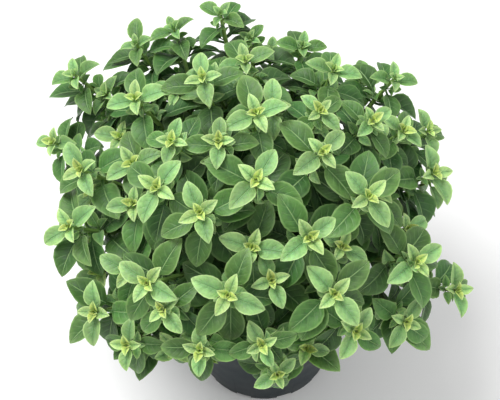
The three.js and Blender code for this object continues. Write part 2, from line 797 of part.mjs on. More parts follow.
// The compost: a plug that fills the pot, with a crumbly top and a square hole for each stem
function makeSoil(plants, roots, random) {
  const floor = FOOT_HEIGHT + WALL + SEAT_GAP;
  const inside = (z) => innerRadius(z) * Math.cos(Math.PI / POT_SIDES) - SEAT_GAP;
  const profile = [
    ...floorProfile(WALL + SEAT_GAP),
    [inside(floor), floor],
    [inside(GROUND), GROUND - CRUMB_HEIGHT],
    ...SOIL_RINGS.toReversed().map((radius) => [radius, GROUND]),
  ];
  const plug = merged(turned(profile, SOIL_SIDES));
  const position = plug.attributes.position;
  for (let i = 0; i < position.count; i++) {
    if (position.getZ(i) > GROUND - CRUMB_HEIGHT / 2) {
      position.setZ(i, GROUND - CRUMB_HEIGHT * random());
    }
  }
  let soil = solidFrom(plug);
  const width = 2 * (ROOT_HALF_WIDTH + SEAT_GAP);
  plants.forEach((shoots, i) => {
    const facing = footFacing(...shoots);
    const place = new THREE.Matrix4().makeTranslation(roots[i].x, roots[i].y, GROUND);
    place.multiply(new THREE.Matrix4().makeRotationZ(Math.atan2(facing.y, facing.x)));
    soil = soil.subtract(boxSolid(width, width, 2 * ROOT_DEPTH, place));
  });
  return geometryFrom(soil);
}

// Takes a finished piece's faces into what the leaves keep clear of
function rememberPiece(name, geometry) {
  const position = geometry.toNonIndexed().attributes.position;
  for (let i = 0; i < position.count; i += 3) {
    const points = [0, 1, 2].map((k) => new THREE.Vector3().fromBufferAttribute(position, i + k));
    remember({ points, plant: name });
  }
}

function node(name, geometry, color, roughness) {
  const material = new THREE.MeshStandardMaterial({ color, roughness, metalness: 0 });
  const mesh = new THREE.Mesh(geometry, material);
  mesh.name = name;
  return mesh;
}

const random = seededRandom(SEED);
const seen = shootsInView();
const plants = pairShoots([...seen, ...furtherShoots(seen, random)]);
const roots = plantRoots(plants);
const pot = makePot();
const soil = makeSoil(plants, roots, random);
rememberPiece('pot', pot);
const stems = growStems(plants, roots);
setLeaves(stems, random);

const basil = new THREE.Group();
basil.add(node('pot', pot, POT_GREY, POT_ROUGHNESS));
basil.add(node('soil', soil, COMPOST_BROWN, COMPOST_ROUGHNESS));
for (const stem of stems) basil.add(node(stem.name, stem.toGeometry(), LEAF_GREEN, LEAF_ROUGHNESS));

export default basil;
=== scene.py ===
# Potted bush basil: the looks. Every leafy stem of the frame is replaced by a finer one of the
# same form: each blade is one modelled leaf, copied and bent along the blade that the frame has
# there. Then come the tiny centre leaves, the side tufts, the lone leaves at the rim of the crown,
# the leaves that hang at its skirt, and the old leaves low on the stems.

import math
import random
from collections import namedtuple
from functools import partial
from itertools import product

import bmesh
import bpy
import numpy as np
from mathutils import Matrix, Vector
from mathutils.bvhtree import BVHTree


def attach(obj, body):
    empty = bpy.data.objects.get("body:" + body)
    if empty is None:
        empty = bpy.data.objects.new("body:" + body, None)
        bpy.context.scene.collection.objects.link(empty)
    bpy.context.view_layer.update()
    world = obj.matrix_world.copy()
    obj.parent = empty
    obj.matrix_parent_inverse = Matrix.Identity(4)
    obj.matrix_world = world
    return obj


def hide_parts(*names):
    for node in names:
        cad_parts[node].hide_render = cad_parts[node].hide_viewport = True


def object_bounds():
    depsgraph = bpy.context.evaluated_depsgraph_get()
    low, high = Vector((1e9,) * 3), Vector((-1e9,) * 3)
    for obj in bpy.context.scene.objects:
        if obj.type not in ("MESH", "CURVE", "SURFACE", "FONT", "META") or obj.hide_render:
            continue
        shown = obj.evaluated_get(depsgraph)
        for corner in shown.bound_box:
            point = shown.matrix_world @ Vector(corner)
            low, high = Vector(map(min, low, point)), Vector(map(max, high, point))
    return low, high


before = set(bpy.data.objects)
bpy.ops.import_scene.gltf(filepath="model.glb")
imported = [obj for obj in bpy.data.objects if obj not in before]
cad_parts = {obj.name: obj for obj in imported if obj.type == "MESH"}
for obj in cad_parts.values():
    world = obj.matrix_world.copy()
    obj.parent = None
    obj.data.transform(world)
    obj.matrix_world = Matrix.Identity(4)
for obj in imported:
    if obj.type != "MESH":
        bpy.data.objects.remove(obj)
cad_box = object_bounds()

MM = 0.001
UP = Vector((0, 0, 1))
draws = random.Random(20260512)

# Lengths are in millimetres and angles in degrees, unless the comment says something else. Where a
# value is drawn at random, its name holds the two numbers that it lies between.

# Where the middle of the crown stands, across and away from the viewer
CROWN_AXIS = (-8, 0)

# The pot, as the frame has it, and how high the compost fills it
POT_HEIGHT = 93
RIM_RADIUS = 60
BASE_RADIUS = 40.5
WALL = 1.4
LIP_STEP = 1.6
LIP_HEIGHT = 9
FOOT_WIDTH = 5
FOOT_HEIGHT = 3.5
CENTRE_PAD_RADIUS = 16
STEP_RUN = 1.2
DRAIN_COUNT = 5
DRAIN_RADIUS = 4
DRAIN_CIRCLE = 26
DRAIN_SIDES = 32
DRILL_LENGTH = 20
NOTCH_COUNT = 10
NOTCH_WIDTH = 9.5
NOTCH_HEIGHT = 3
NOTCH_REACH = 20
POT_STEPS = 96
GROUND = 82

# The pot's rounded edges: how far below the lip its hollow starts, the other edges as offsets
# outwards and up from a sharp one, and how much a cut edge is rounded
LIP_HOLLOW = 0.6
BASE_EDGE = [(-0.9, 0), (-0.3, 0.25), (0, 0.9)]
LIP_EDGE = [(-0.4, 0.4), (0, 1)]
RIM_EDGE = [(-0.1, -1.2), (-0.2, -0.5), (-0.8, 0)]
INNER_EDGE = [(0.5, 0), (0, -0.5)]
CUT_EDGE = 0.25

# Angles between faces: from a sharp one on, an edge is creased, rounded or left hard, and up to a
# flat one, faces are joined or shaded as one
SHARP_ANGLE = math.radians(50)
FLAT_ANGLE = math.radians(40)
LEAF_SMOOTH_ANGLE = math.radians(60)

# Corners that are nearer to each other than this are one: in a node of the frame, in the spun pot,
# and on the flat leaf, in its own units; and how finely places are compared
NODE_MERGE = 0.002
SPIN_MERGE = 0.01
SAME_PLACE = 1e-4
PLACE_STEP = 0.01

# How hard a stem's edges stay when it is smoothed, and how often it is smoothed
STEM_CREASE = 0.75
STEM_LEVELS = 2

# The compost's crumbs: how deep below the ground they reach, and how finely, how roughly and how
# steeply its top is broken up
CRUMB_DEPTH = 2
CRUMB_CUTS = 3
CRUMB_ROUGHNESS = 0.35
CRUMB_UPRIGHT = 0.8
CRUMB_SEED = 4

# The photograph's camera, its focal length and the photograph in pixels
VIEW_ELEVATION = math.radians(52)
VIEW_DISTANCE = 650
VIEW_AIM = Vector((-8.6, 0, 147.5))
VIEW_FOCAL = 1204
PHOTO_WIDTH = 500
PHOTO_HEIGHT = 400
SENSOR_WIDTH = 36
CLIP_START = 10

# The frame's blades: where along the blade their sections stand, and how their width grows
# and shrinks, as the power of a sine
TIP_SECTION = 0.7
SINGLE_SECTION = 0.42
WIDTH_POWER = 0.8
WIDTH_SKEW = 0.78

# How many edges meet at the four vertices next to a blade's tip: on a blade of two sections, and
# on one of a single section
TWO_SECTION_EDGES = [4, 4, 6, 6]
SINGLE_SECTION_EDGES = [5, 5, 5, 5]

# One leaf: rows along its blade, each with its share of the half width, rows along its stalk, and,
# in half widths, the arch of each half and how thick the blade and the stalk are
LEAF_ROWS = [
    (0.0, 0.12), (0.07, 0.42), (0.18, 0.78), (0.32, 0.98), (0.47, 1.0),
    (0.63, 0.86), (0.79, 0.58), (0.92, 0.27), (1.0, 0.02),
]
LEAF_COLUMNS = 4
STALK_ROWS = [0.85, 1.0]
LEAF_ARCH = 0.13
LEAF_THICKNESS = 0.06875
STALK_THICKNESS = 0.13

# While the leaf is modelled: how deep its lower face is sunk at first, the least share of its
# height that a narrow row keeps, how far aside finished rows wait, and where its blade begins
SINK = 0.5
LEAST_HEIGHT = 0.3
ASIDE = 3
BLADE_FROM = 0.05

# Ages that the leaf's colour follows, from 0 to 1: at the centre of a shoot, for each rank of the
# frame's pairs and how far a leaf departs from it, and low on the stems; and how far below the tip
# the second and the third rank end
AGE_CENTRE = 0.0
AGE_OF_RANK = [0.2, 0.44, 0.7, 0.9]
AGE_SPREAD = (-0.05, 0.05)
AGE_OLD = 1.0
RANK_REACH = [5, 13.5]

# Painted shade: the leaves of shoots low on the side of the crown, and of those at its back, are
# given the duller colour of older leaves where shade falls: where that starts, over what distance
# it grows, and how much age it adds
SHADE_FROM = 120
SHADE_RUN = 36
SHADE_AGE = 0.7
BACK_SHADE_FROM = 20
BACK_SHADE_RUN = 60
BACK_SHADE_AGE = 0.38

# The age from which a leaf folds up more than the frame's blade does, and how much more
FOLD_FROM_AGE = 0.3
FOLD_MORE = 1.9

# A leaf's own small differences at their most: its roll towards the tip, the height of the waves
# of its margin, in half widths, and their number, how far its tip droops, in blade lengths, and
# where along the blade the droop starts
ROLL = math.radians(14)
WAVE = 0.13
WAVES = 1.3
TIP_DROOP = 0.1
TIP_FROM = 0.55

# How deep a stalk's end sits in its stem, the step over which a rib's slope is read, and the
# shares of its length at which a rib's bend is worked out
ROOT_SINK = 0.5
SLOPE_STEP = 0.2
KNOT_SHARES = [0, 0.35, 0.7, 1]

# The tiny pairs that close a shoot: length, width, lean, fold, and quarter turn from the first
# pair; how far up they stand, and how far out in half widths of the stem
CENTRE_PAIRS = [(6.8, 4.3, 30, 30, 1), (4.2, 2.7, 14, 44, 0)]
CENTRE_RISE = 0.6
CENTRE_OUT = 0.5
CENTRE_SIZE = (0.85, 1.15)
CENTRE_LEAN_SPREAD = (-6, 6)
CENTRE_BEND = 22
CENTRE_STALK = 0.3

# Side tufts in the angle between leaf and stem, by the rank of the leaf: chance and blade length;
# the turn and the size of each of their leaves, and the leans that are tried; how far above the
# leaf they stand, how their own stem leans out, and their stalk and width in blade lengths
TUFTS = {1: (0.55, 4.2), 2: (0.9, 6.5), 3: (0.95, 9.5)}
TUFT_LEAVES = [(90, 1), (-90, 1), (180, 0.6), (0, 0.75)]
TUFT_LEANS = [46, 30, 60]
TUFT_RISE = 1.2
TUFT_STEM = 0.3
TUFT_UP = 0.8
TUFT_OUT = 0.6
TUFT_SIZE = (0.75, 1.2)
TUFT_TURN_SPREAD = (-15, 15)
TUFT_LEAN_SPREAD = (-5, 5)
TUFT_BEND = 30
TUFT_STALK = 0.25
TUFT_WIDTH = 0.6
TUFT_FOLD = 24
TUFT_AGE = (0.3, 0.62)

# Large lone leaves that round off the rim of the crown: the number of their stem, their shoot, how
# far below the tip of the shoot they grow, and where their own tip hangs; the turns and leans that
# are tried; their stalk in shares of the whole, and their width in blade lengths
LONE_LEAVES = [
    (21, 0, 16.7, (-108, -52, 132)), (16, 1, 11.1, (-104, -41, 114)), (16, 0, 11, (-110, -46, 144)),
    (21, 0, 10.4, (-104, -72, 118)), (36, 1, 11.7, (-71, -83, 101)), (21, 1, 25.5, (-81, -79, 114)),
    (34, 0, 17.5, (38, -89, 118)), (27, 1, 16.8, (88, -71, 107)), (11, 1, 15.4, (105, 14, 146)),
    (2, 0, 11.9, (-93, 82, 175)), (1, 0, 15.8, (-122, 60, 165)), (1, 0, 21.6, (-115, 62, 155)),
    (1, 1, 13.8, (-97, 72, 165)), (13, 0, 14.9, (-123, 39, 148)), (14, 0, 13.2, (-114, -3, 162)),
    (2, 1, 24.2, (-46, 98, 172)), (2, 1, 12.3, (-58, 101, 185)), (7, 1, 10.5, (21, 112, 149)),
    (7, 0, 16.8, (40, 86, 167)), (10, 1, 9, (63, 98, 148)), (31, 1, 11.4, (-110, 60, 129)),
    (31, 1, 15.1, (-97, 81, 133)), (27, 1, 20.4, (69, -76, 113)), (12, 0, 18.7, (87, 58, 147)),
    (12, 1, 22, (98, 14, 115)),
]
LONE_TRIES = [
    (0, 0), (0, 9), (0, -9), (12, 0), (-12, 0), (14, 9), (-14, 9), (14, -9), (-14, -9), (24, 0), (-24, 0),
]
LONE_BEND = 26
LONE_STALK = 0.18
LONE_WIDTH = 0.66
LONE_FOLD = (8, 16)
LONE_AGE = (0.66, 0.92)
LONE_TO_SKY = 0.8

# Leaves of the short side shoots, that hang outwards and down round the crown: how far below the
# tip they grow, the first of them only on shoots beyond a distance from the crown's axis; how many
# grow there, the turns from straight outwards and the sizes that are tried, and how far they dip
SKIRT_STOPS = [17, 27, 31]
SKIRT_RIM = 50
SKIRT_COUNT = 2
SKIRT_TURNS = [0, 45, -45, 80, -80, 120, -120]
SKIRT_SCALES = [1, 0.8, 0.62]
SKIRT_DIP = 0.5
SKIRT_TURN_SPREAD = (-12, 12)
SKIRT_SIZE = (0.88, 1.05)
SKIRT_LEAN = (66, 92)
SKIRT_BEND = (28, 48)
SKIRT_FOLD = (9, 20)
SKIRT_AGE = (0.7, 1.0)
SKIRT_BLADE = 22
SKIRT_WIDTH = 15
SKIRT_STALK = 5
SKIRT_TO_SKY = 0.65

# Where no leaf hangs in the photograph, so that the pot is seen: between two pixels across, from
# a third pixel down
CLEAR_VIEW = [
    (147, 190, 364), (211, 238, 363), (238, 252, 374), (252, 294, 390), (294, 306, 367), (306, 334, 357),
]

# Old pairs low on the stems: how far below the tip they begin, how far apart they stand, and how
# far above the stem's lower end they stop; the turns, leans and sizes that are tried
OLD_FIRST = 35
OLD_SPACING = 12.5
OLD_LAST = 12
OLD_TRIES = [
    (0, 0, 1), (18, 0, 1), (-18, 0, 1), (0, -14, 1), (0, 14, 1), (30, -10, 0.9), (-30, -10, 0.9),
    (0, 0, 0.82), (24, 14, 0.82), (-24, 14, 0.82), (0, -24, 0.7), (28, 0, 0.7), (-28, 0, 0.7),
    (0, 20, 0.6), (20, -20, 0.55), (-20, -20, 0.55),
]
OLD_SPACING_SPREAD = (0.9, 1.1)
OLD_SIZE = (0.8, 1.05)
OLD_LEAN = (70, 100)
OLD_BEND = (25, 45)
OLD_AGE_LESS = (0, 0.2)
OLD_BLADE = 20.5
OLD_WIDTH = 14
OLD_STALK = 4
OLD_FOLD = 9
OLD_TO_SKY = 0.5

# The light: how bright the sky is, each lamp's place and size in metres and its power, where the
# lamps look, and the size of the floor, both in metres too
SKY_STRENGTH = 0.68
LAMPS = [((-0.42, 0.04, 1.16), 0.7, 11.4), ((0.8, -0.35, 0.7), 0.5, 1.6)]
LAMP_AIM = Vector((0, 0, 0.13))
FLOOR_SIZE = 8


def deselect():
    bpy.ops.object.select_all(action="DESELECT")


def activate(obj):
    deselect()
    obj.select_set(True)
    bpy.context.view_layer.objects.active = obj


def start_editing(obj):
    """Opens a piece in edit mode, with all its vertices selected."""
    activate(obj)
    bpy.ops.object.mode_set(mode="EDIT")
    bpy.ops.mesh.select_mode(type="VERT")
    bpy.ops.mesh.select_all(action="SELECT")


def select_where(obj, test):
    """Selects, in edit mode, the vertices whose place passes a test."""
    mesh = bmesh.from_edit_mesh(obj.data)
    for vertex in mesh.verts:
        vertex.select = bool(test(vertex.co))
    mesh.select_flush_mode()
    bmesh.update_edit_mesh(obj.data)


def apply_modifier(obj, kind, **settings):
    """Adds a modifier with its settings to the active piece, and applies it."""
    modifier = obj.modifiers.new(kind, kind)
    for key, value in settings.items():
        setattr(modifier, key, value)
    bpy.ops.object.modifier_apply(modifier=modifier.name)


def near(a, b):
    return abs(a - b) < SAME_PLACE


def clamped(share):
    return min(max(share, 0), 1)


# Materials


def linear(hex_colour):
    """An sRGB hex colour as linear values."""
    channels = [(hex_colour >> shift & 255) / 255 for shift in (16, 8, 0)]
    turned = [c / 12.92 if c <= 0.04045 else ((c + 0.055) / 1.055) ** 2.4 for c in channels]
    return (*turned, 1.0)


def set_inputs(node, inputs):
    """Sets a node's inputs, by name or number. Each is a value, an output to link, or a node, whose
    first output is meant."""
    for key, value in inputs.items():
        source = value.outputs[0] if isinstance(value, bpy.types.Node) else value
        if isinstance(source, bpy.types.NodeSocket):
            node.id_data.links.new(source, node.inputs[key])
        else:
            node.inputs[key].default_value = source


def add_node(tree, kind, inputs=None, **settings):
    """Adds a node with its settings and inputs. A pattern's scale is its number of spots per metre."""
    node = tree.nodes.new("ShaderNode" + kind)
    for key, value in settings.items():
        setattr(node, key, value)
    set_inputs(node, inputs or {})
    return node


def calc(operation, first, *others):
    """Adds a calculation to the tree that its first value comes from."""
    return add_node(first.id_data, "Math", dict(enumerate((first, *others))), operation=operation)


def remap(source, low, high, at_low, at_high, **settings):
    """Adds what is given for a source that goes from low to high, and stays the same beyond."""
    inputs = dict(enumerate((source, low, high, at_low, at_high)))
    return add_node(source.id_data, "MapRange", inputs, **settings)


def blend(share, without, within):
    """Adds a mix of two colours, by the share of the second."""
    return add_node(share.id_data, "Mix", {0: share, 6: without, 7: within}, data_type="RGBA").outputs[2]


def new_material(name, **constants):
    """A material, its one Principled shader with the given constants, how a node is added to it,
    and the output that gives a point's place on its piece."""
    material = bpy.data.materials.new(name)
    material.use_nodes = True
    shader = material.node_tree.nodes["Principled BSDF"]
    set_inputs(shader, {key.replace("_", " "): value for key, value in constants.items()})
    add = partial(add_node, material.node_tree)
    return material, shader, add, add("TexCoord").outputs["Object"]


def set_ramp(node, stops):
    """Gives a colour ramp its stops, as positions and hex colours."""
    ramp = node.color_ramp
    while len(ramp.elements) > 1:
        ramp.elements.remove(ramp.elements[-1])
    ramp.elements[0].position = stops[0][0]
    ramp.elements[0].color = linear(stops[0][1])
    for position, hex_colour in stops[1:]:
        ramp.elements.new(position).color = linear(hex_colour)


def leaf_material(name, stops, margin, rib, is_under):
    # Living basil leaf: a waxy, softly glossy skin over green flesh that lets light through. The
    # blade is cooler and darker in the middle, partly with painted shade of its fold along the rib,
    # pale along its margin, rib and side veins, and dull below.
    material, shader, add, place = new_material(
        name, Roughness=0.62 if is_under else 0.5, IOR=1.45, Specular_IOR_Level=0.5, Subsurface_Weight=0.2,
        Subsurface_Radius=(0.5, 1.0, 0.2), Subsurface_Scale=1.2 * MM,
    )
    uv = add("UVMap", uv_map="UVMap")
    across, upwards, _ = add("SeparateXYZ", {0: uv}).outputs
    # Its age carries painted shade as well, for leaves low on the crown and at its back
    age = add("Attribute", attribute_name="leaf_age_and_shade").outputs["Fac"]
    tint = add("Attribute", attribute_name="leaf_tint").outputs["Fac"]
    side = calc("MULTIPLY_ADD", across, 2, -1)
    out = calc("ABSOLUTE", side)

    # The colour of its age, which holds painted shade too, a little lighter or yellower on one leaf than on
    # the next
    ramp = add("ValToRGB", {0: age})
    set_ramp(ramp, stops)
    hue = calc("MULTIPLY_ADD", tint, 0.008, 0.494)
    value = calc("MULTIPLY_ADD", tint, 0.16, 1)
    base = add("HueSaturation", {"Hue": hue, "Value": value, "Color": ramp})

    # Mottle, some 3 mm across, with a finer grain in it
    mottle = add("TexNoise", {"Vector": place, "Scale": 300, "Detail": 6, "Roughness": 0.68})
    mottled = remap(mottle, 0.3, 0.7, 0.74, 1.2)
    spotted = add("VectorMath", {0: base, 1: mottled}, operation="MULTIPLY")

    # The middle of the blade is cooler and darker than its edge: a cooler green of its own, with painted
    # shade of the fold along the rib. The tip and the margin turn yellow-green, above all on a young leaf.
    middle = remap(out, 0, 0.7, 0.8, 0, interpolation_type="SMOOTHSTEP")
    cooler_with_fold_shade = add("VectorMath", {0: spotted, 1: (0.48, 0.65, 0.68)}, operation="MULTIPLY")
    body = blend(middle, spotted, cooler_with_fold_shade)
    youth = remap(age, 0.1, 0.8, 0.85, 0.12)
    tip = remap(upwards, 0.6, 1, 0, 1, interpolation_type="SMOOTHSTEP")
    edge = remap(out, 0.8, 0.98, 0, 1, interpolation_type="SMOOTHSTEP")
    outer = calc("MAXIMUM", tip, edge)
    yellow = calc("MULTIPLY", outer, youth)
    edged = blend(yellow, body, linear(margin))

    # About six side veins on each half, that rise towards the tip and fade before the margin
    rise = calc("MULTIPLY", out, -1.5)
    along = calc("MULTIPLY_ADD", upwards, 6.5, rise)
    gap = calc("PINGPONG", along, 0.5)
    vein = remap(gap, 0.02, 0.13, 1, 0)
    fade = remap(out, 0.35, 0.9, 1, 0)
    side_vein = calc("MULTIPLY", vein, fade)
    mid_vein = remap(out, 0.015, 0.07, 1, 0)
    side_pale = calc("MULTIPLY", side_vein, 0.1)
    firm = remap(age, 0.2, 0.6, 0.1, 0.6)
    mid_pale = calc("MULTIPLY", mid_vein, firm)
    pale = calc("MAXIMUM", side_pale, mid_pale)
    veined = blend(pale, edged, linear(rib))

    # Veins sink into the upper face and stand out below, and the flesh between them is quilted
    faint = calc("MULTIPLY", side_vein, 0.3)
    sunk = calc("MAXIMUM", faint, mid_vein)
    swell = calc("MULTIPLY", gap, 0.35)
    quilt = calc("MULTIPLY_ADD", mottle, 0.8, swell)
    height = calc("ADD" if is_under else "SUBTRACT", quilt, sunk)
    bump = add("Bump", {"Strength": 0.8, "Distance": 0.5 * MM, "Height": height})
    set_inputs(shader, {"Base Color": veined, "Normal": bump})
    if not is_under:
        sheen = remap(mottle, 0.3, 0.7, 0.42, 0.6)
        set_inputs(shader, {"Roughness": sheen})
    return material


def stem_material():
    # Square basil stem: juicy green near the tip, duller and brownish towards the root, with fine
    # ridges along it, drawn 0.7 mm apart so that they show
    material, shader, add, place = new_material("Basil_stem", Roughness=0.5, IOR=1.42)
    height = add("SeparateXYZ", {0: place}).outputs[2]
    grown = remap(height, 85 * MM, 190 * MM, 0, 1)
    ramp = add("ValToRGB", {0: grown})
    set_ramp(ramp, [(0, 0x5A4A33), (0.3, 0x5F6B3C), (0.65, 0x6F9548), (1, 0x93BA5E)])
    stretch = add("Mapping", {0: place, 3: (1, 1, 0.15)})
    grain = add("TexNoise", {"Vector": stretch, "Scale": 1400, "Detail": 2})
    shade = remap(grain, 0.3, 0.7, 0.8, 1.12)
    streaked = add("VectorMath", {0: ramp, 1: shade}, operation="MULTIPLY")
    bump = add("Bump", {"Strength": 0.4, "Distance": 0.2 * MM, "Height": grain})
    set_inputs(shader, {"Base Color": streaked, "Normal": bump})
    return material


def pot_material():
    # Moulded polypropylene, dyed slate grey: a low satin sheen from the mould, whose grain is drawn
    # 0.6 mm wide so that it shows, with dried splashes and dust that are lighter and duller
    material, shader, add, place = new_material("Slate_polypropylene", IOR=1.49, Specular_IOR_Level=0.12)
    cloud = add("TexNoise", {"Vector": place, "Scale": 38, "Detail": 4})
    fine = add("TexNoise", {"Vector": place, "Scale": 1800, "Detail": 2})
    dust = add("ValToRGB", {0: cloud})
    set_ramp(dust, [(0.35, 0x121E22), (0.7, 0x1A282D)])
    speck = remap(fine, 0.35, 0.65, 0.94, 1.06)
    body = add("VectorMath", {0: dust, 1: speck}, operation="MULTIPLY")
    rough = remap(cloud, 0.3, 0.7, 0.36, 0.5)
    bump = add("Bump", {"Strength": 0.15, "Distance": 0.1 * MM, "Height": fine})
    set_inputs(shader, {"Base Color": body, "Roughness": rough, "Normal": bump})
    return material


def compost_material():
    # Moist peat compost: nearly black crumbs, 2 mm across, with brown fibres, and no gloss
    material, shader, add, place = new_material("Peat_compost", Roughness=0.95)
    crumb = add("TexVoronoi", {"Vector": place, "Scale": 420})
    fibre = add("TexNoise", {"Vector": place, "Scale": 900, "Detail": 5})
    ramp = add("ValToRGB", {0: fibre})
    set_ramp(ramp, [(0.35, 0x1D1510), (0.52, 0x33251A), (0.66, 0x5A432D)])
    mixed = calc("ADD", fibre, crumb)
    bump = add("Bump", {"Strength": 0.8, "Distance": MM, "Height": mixed})
    set_inputs(shader, {"Base Color": ramp, "Normal": bump})
    return material


LEAF_TOP = leaf_material(
    "Basil_leaf_upper",
    [(0, 0xC6DC76), (0.2, 0xA9CD80), (0.44, 0x8AB570), (0.66, 0x58843F), (0.84, 0x416F30), (1, 0x38632D)],
    0xC9ED98, 0xB0D690, False,
)
LEAF_UNDER = leaf_material(
    "Basil_leaf_lower",
    [(0, 0xC2D67E), (0.3, 0x97B876), (0.65, 0x6B8F58), (1, 0x4F7346)],
    0xB5CF80, 0x9FBF80, True,
)
STEM = stem_material()
POT = pot_material()
COMPOST = compost_material()


# The leaf, modelled once


def is_sunk(co):
    """Whether a vertex is on the lower face of the flat leaf, inside its outline."""
    return co.z < -SINK * LEAST_HEIGHT / 2


def model_leaf():
    """A flat leaf along +Y: its blade from 0 to 1 and its stalk from -1 to 0, in half widths across."""
    deselect()
    rows = len(LEAF_ROWS) - 1
    step = 2 / rows
    inner = 2 / LEAF_COLUMNS
    bpy.ops.mesh.primitive_grid_add(
        x_subdivisions=LEAF_COLUMNS, y_subdivisions=rows, size=2, location=(0, 0, 0),
    )
    leaf = bpy.context.object
    leaf.name = "leaf_pattern"
    for material in (LEAF_TOP, LEAF_UNDER):
        leaf.data.materials.append(material)
    for name in ("leaf_age_and_shade", "leaf_tint"):
        leaf.data.attributes.new(name, "FLOAT", "POINT")
    start_editing(leaf)

    # The stalk grows from the foot of the blade, still as wide as the grid
    lowest = -1
    for _ in STALK_ROWS:
        select_where(leaf, lambda co, at=lowest: near(co.y, at))
        bpy.ops.mesh.extrude_region_move(TRANSFORM_OT_translate={"value": (0, -step, 0)})
        lowest -= step

    # The lower face is a copy, turned over and sunk, that shares the outline
    bpy.ops.mesh.select_all(action="SELECT")
    bpy.ops.mesh.duplicate()
    bpy.ops.mesh.flip_normals()
    leaf.active_material_index = 1
    bpy.ops.object.material_slot_assign()
    bpy.ops.transform.translate(value=(0, 0, -SINK))
    select_where(leaf, lambda co: is_sunk(co) and near(abs(co.x), inner))
    bpy.ops.mesh.dissolve_edges()
    select_where(leaf, lambda co: is_sunk(co) and (near(abs(co.x), 1) or near(co.y, 1) or near(co.y, lowest)))
    bpy.ops.transform.translate(value=(0, 0, SINK))
    bpy.ops.mesh.select_all(action="SELECT")
    bpy.ops.mesh.remove_doubles(threshold=SAME_PLACE)
    for end in (1, lowest):
        select_where(leaf, lambda co, at=end: near(co.y, at))
        bpy.ops.mesh.merge(type="CENTER")

    # The inner columns rise, so that each half of the blade is arched beside the rib
    select_where(leaf, lambda co: near(abs(co.x), inner))
    bpy.ops.transform.translate(value=(0, 0, LEAF_ARCH))

    # Each row goes to its place and its width, aside of those that still wait
    levels = [(-1 + step * index, place, width) for index, (place, width) in enumerate(LEAF_ROWS)]
    levels += [(-1 - step * index, -place, LEAF_ROWS[0][1]) for index, place in enumerate(STALK_ROWS, 1)]
    for level, place, width in levels:
        select_where(leaf, lambda co, at=level: near(co.y, at))
        bpy.ops.transform.resize(value=(width, 1, max(width, LEAST_HEIGHT)), center_override=(0, 0, 0))
        bpy.ops.transform.translate(value=(0, place + ASIDE - level, 0))
    bpy.ops.mesh.select_all(action="SELECT")
    bpy.ops.transform.translate(value=(0, -ASIDE, 0))

    # The sunk face comes up to the thickness of the blade, and of the stalk
    select_where(leaf, lambda co: is_sunk(co) and co.y > SAME_PLACE)
    bpy.ops.transform.resize(value=(1, 1, LEAF_THICKNESS / SINK), center_override=(0, 0, 0))
    select_where(leaf, lambda co: is_sunk(co) and co.y < SAME_PLACE)
    bpy.ops.transform.resize(value=(1, 1, STALK_THICKNESS / (SINK * LEAST_HEIGHT)), center_override=(0, 0, 0))
    bpy.ops.object.mode_set(mode="OBJECT")
    bpy.ops.object.shade_smooth_by_angle(angle=LEAF_SMOOTH_ANGLE)
    return leaf


leaf_pattern = model_leaf()
PATTERN = np.empty(len(leaf_pattern.data.vertices) * 3)
leaf_pattern.data.vertices.foreach_get("co", PATTERN)
PATTERN = PATTERN.reshape(-1, 3)
BLADE_FACES = [
    tuple(face.vertices) for face in leaf_pattern.data.polygons
    if all(PATTERN[i][1] > BLADE_FROM for i in face.vertices)
]


# The frame's stems and blades, read from its meshes


# A section of a shoot: its distance below the tip, its centre, the way that the shoot grows, the
# way that its first side faces, and half its width
Section = namedtuple("Section", "distance centre axis facing half")


def turned(way, axis, angle):
    return Matrix.Rotation(math.radians(angle), 3, axis) @ way


def square_to(way, axis):
    return (way - axis * way.dot(axis)).normalized()


def place_key(co):
    """A vertex's place as whole steps, so that places can be compared."""
    return tuple(round(value / (PLACE_STEP * MM)) for value in co)


def merged_mesh(node):
    """The node's triangles with their corners shared."""
    mesh = bmesh.new()
    mesh.from_mesh(node.data)
    bmesh.ops.remove_doubles(mesh, verts=mesh.verts, dist=NODE_MERGE * MM)
    return mesh


def neighbours(vertex):
    return [edge.other_vert(vertex) for edge in vertex.link_edges]


def edge_count(vertex):
    return len(vertex.link_edges)


def common(first, second, used):
    """The one neighbour that two vertices share, apart from those used."""
    shared = set(neighbours(first)) & set(neighbours(second))
    return next(vertex for vertex in shared if vertex not in used)


def opposite_pairs(tip):
    """The four vertices round a blade's tip, as two opposite pairs."""
    first, *rest = neighbours(tip)
    beside = set(neighbours(first))
    other = next(vertex for vertex in rest if vertex not in beside)
    return (first, other), tuple(vertex for vertex in rest if vertex is not other)


def read_blade(tip):
    """The sections of the blade that ends in a tip, from its foot up, or None if it isn't one."""
    counts = sorted(edge_count(vertex) for vertex in neighbours(tip))
    if edge_count(tip) != 4 or counts not in (TWO_SECTION_EDGES, SINGLE_SECTION_EDGES):
        return None
    pairs = opposite_pairs(tip)
    if counts == SINGLE_SECTION_EDGES:
        ribs, sides = sorted(pairs, key=lambda pair: (pair[0].co - pair[1].co).length)
        sections = [(ribs, sides)]
    else:
        ribs, sides = sorted(pairs, key=lambda pair: edge_count(pair[0]))
        near_tip = {tip, *ribs, *sides}
        lower_ribs = tuple(next(v for v in neighbours(rib) if v not in near_tip) for rib in ribs)
        used = near_tip | set(lower_ribs)
        lower_sides = tuple(next(v for v in neighbours(side) if v not in used) for side in sides)
        sections = [(lower_ribs, lower_sides), (ribs, sides)]
    ribs, sides = sections[0]
    used = {tip}.union(*(set(pair) for section in sections for pair in section))
    foot = [common(rib, side, used) for rib in ribs for side in sides]
    return {"tip": tip, "sections": sections, "foot": foot, "used": used}


def lagrange(knots, points, places):
    """A smooth curve through points at their knots, read at the given places."""
    result = np.zeros((len(places), 3))
    for i, point in enumerate(points):
        weight = np.ones(len(places))
        for j, knot in enumerate(knots):
            if j != i:
                weight *= (places - knot) / (knots[i] - knot)
        result += weight[:, None] * np.array(point)
    return result


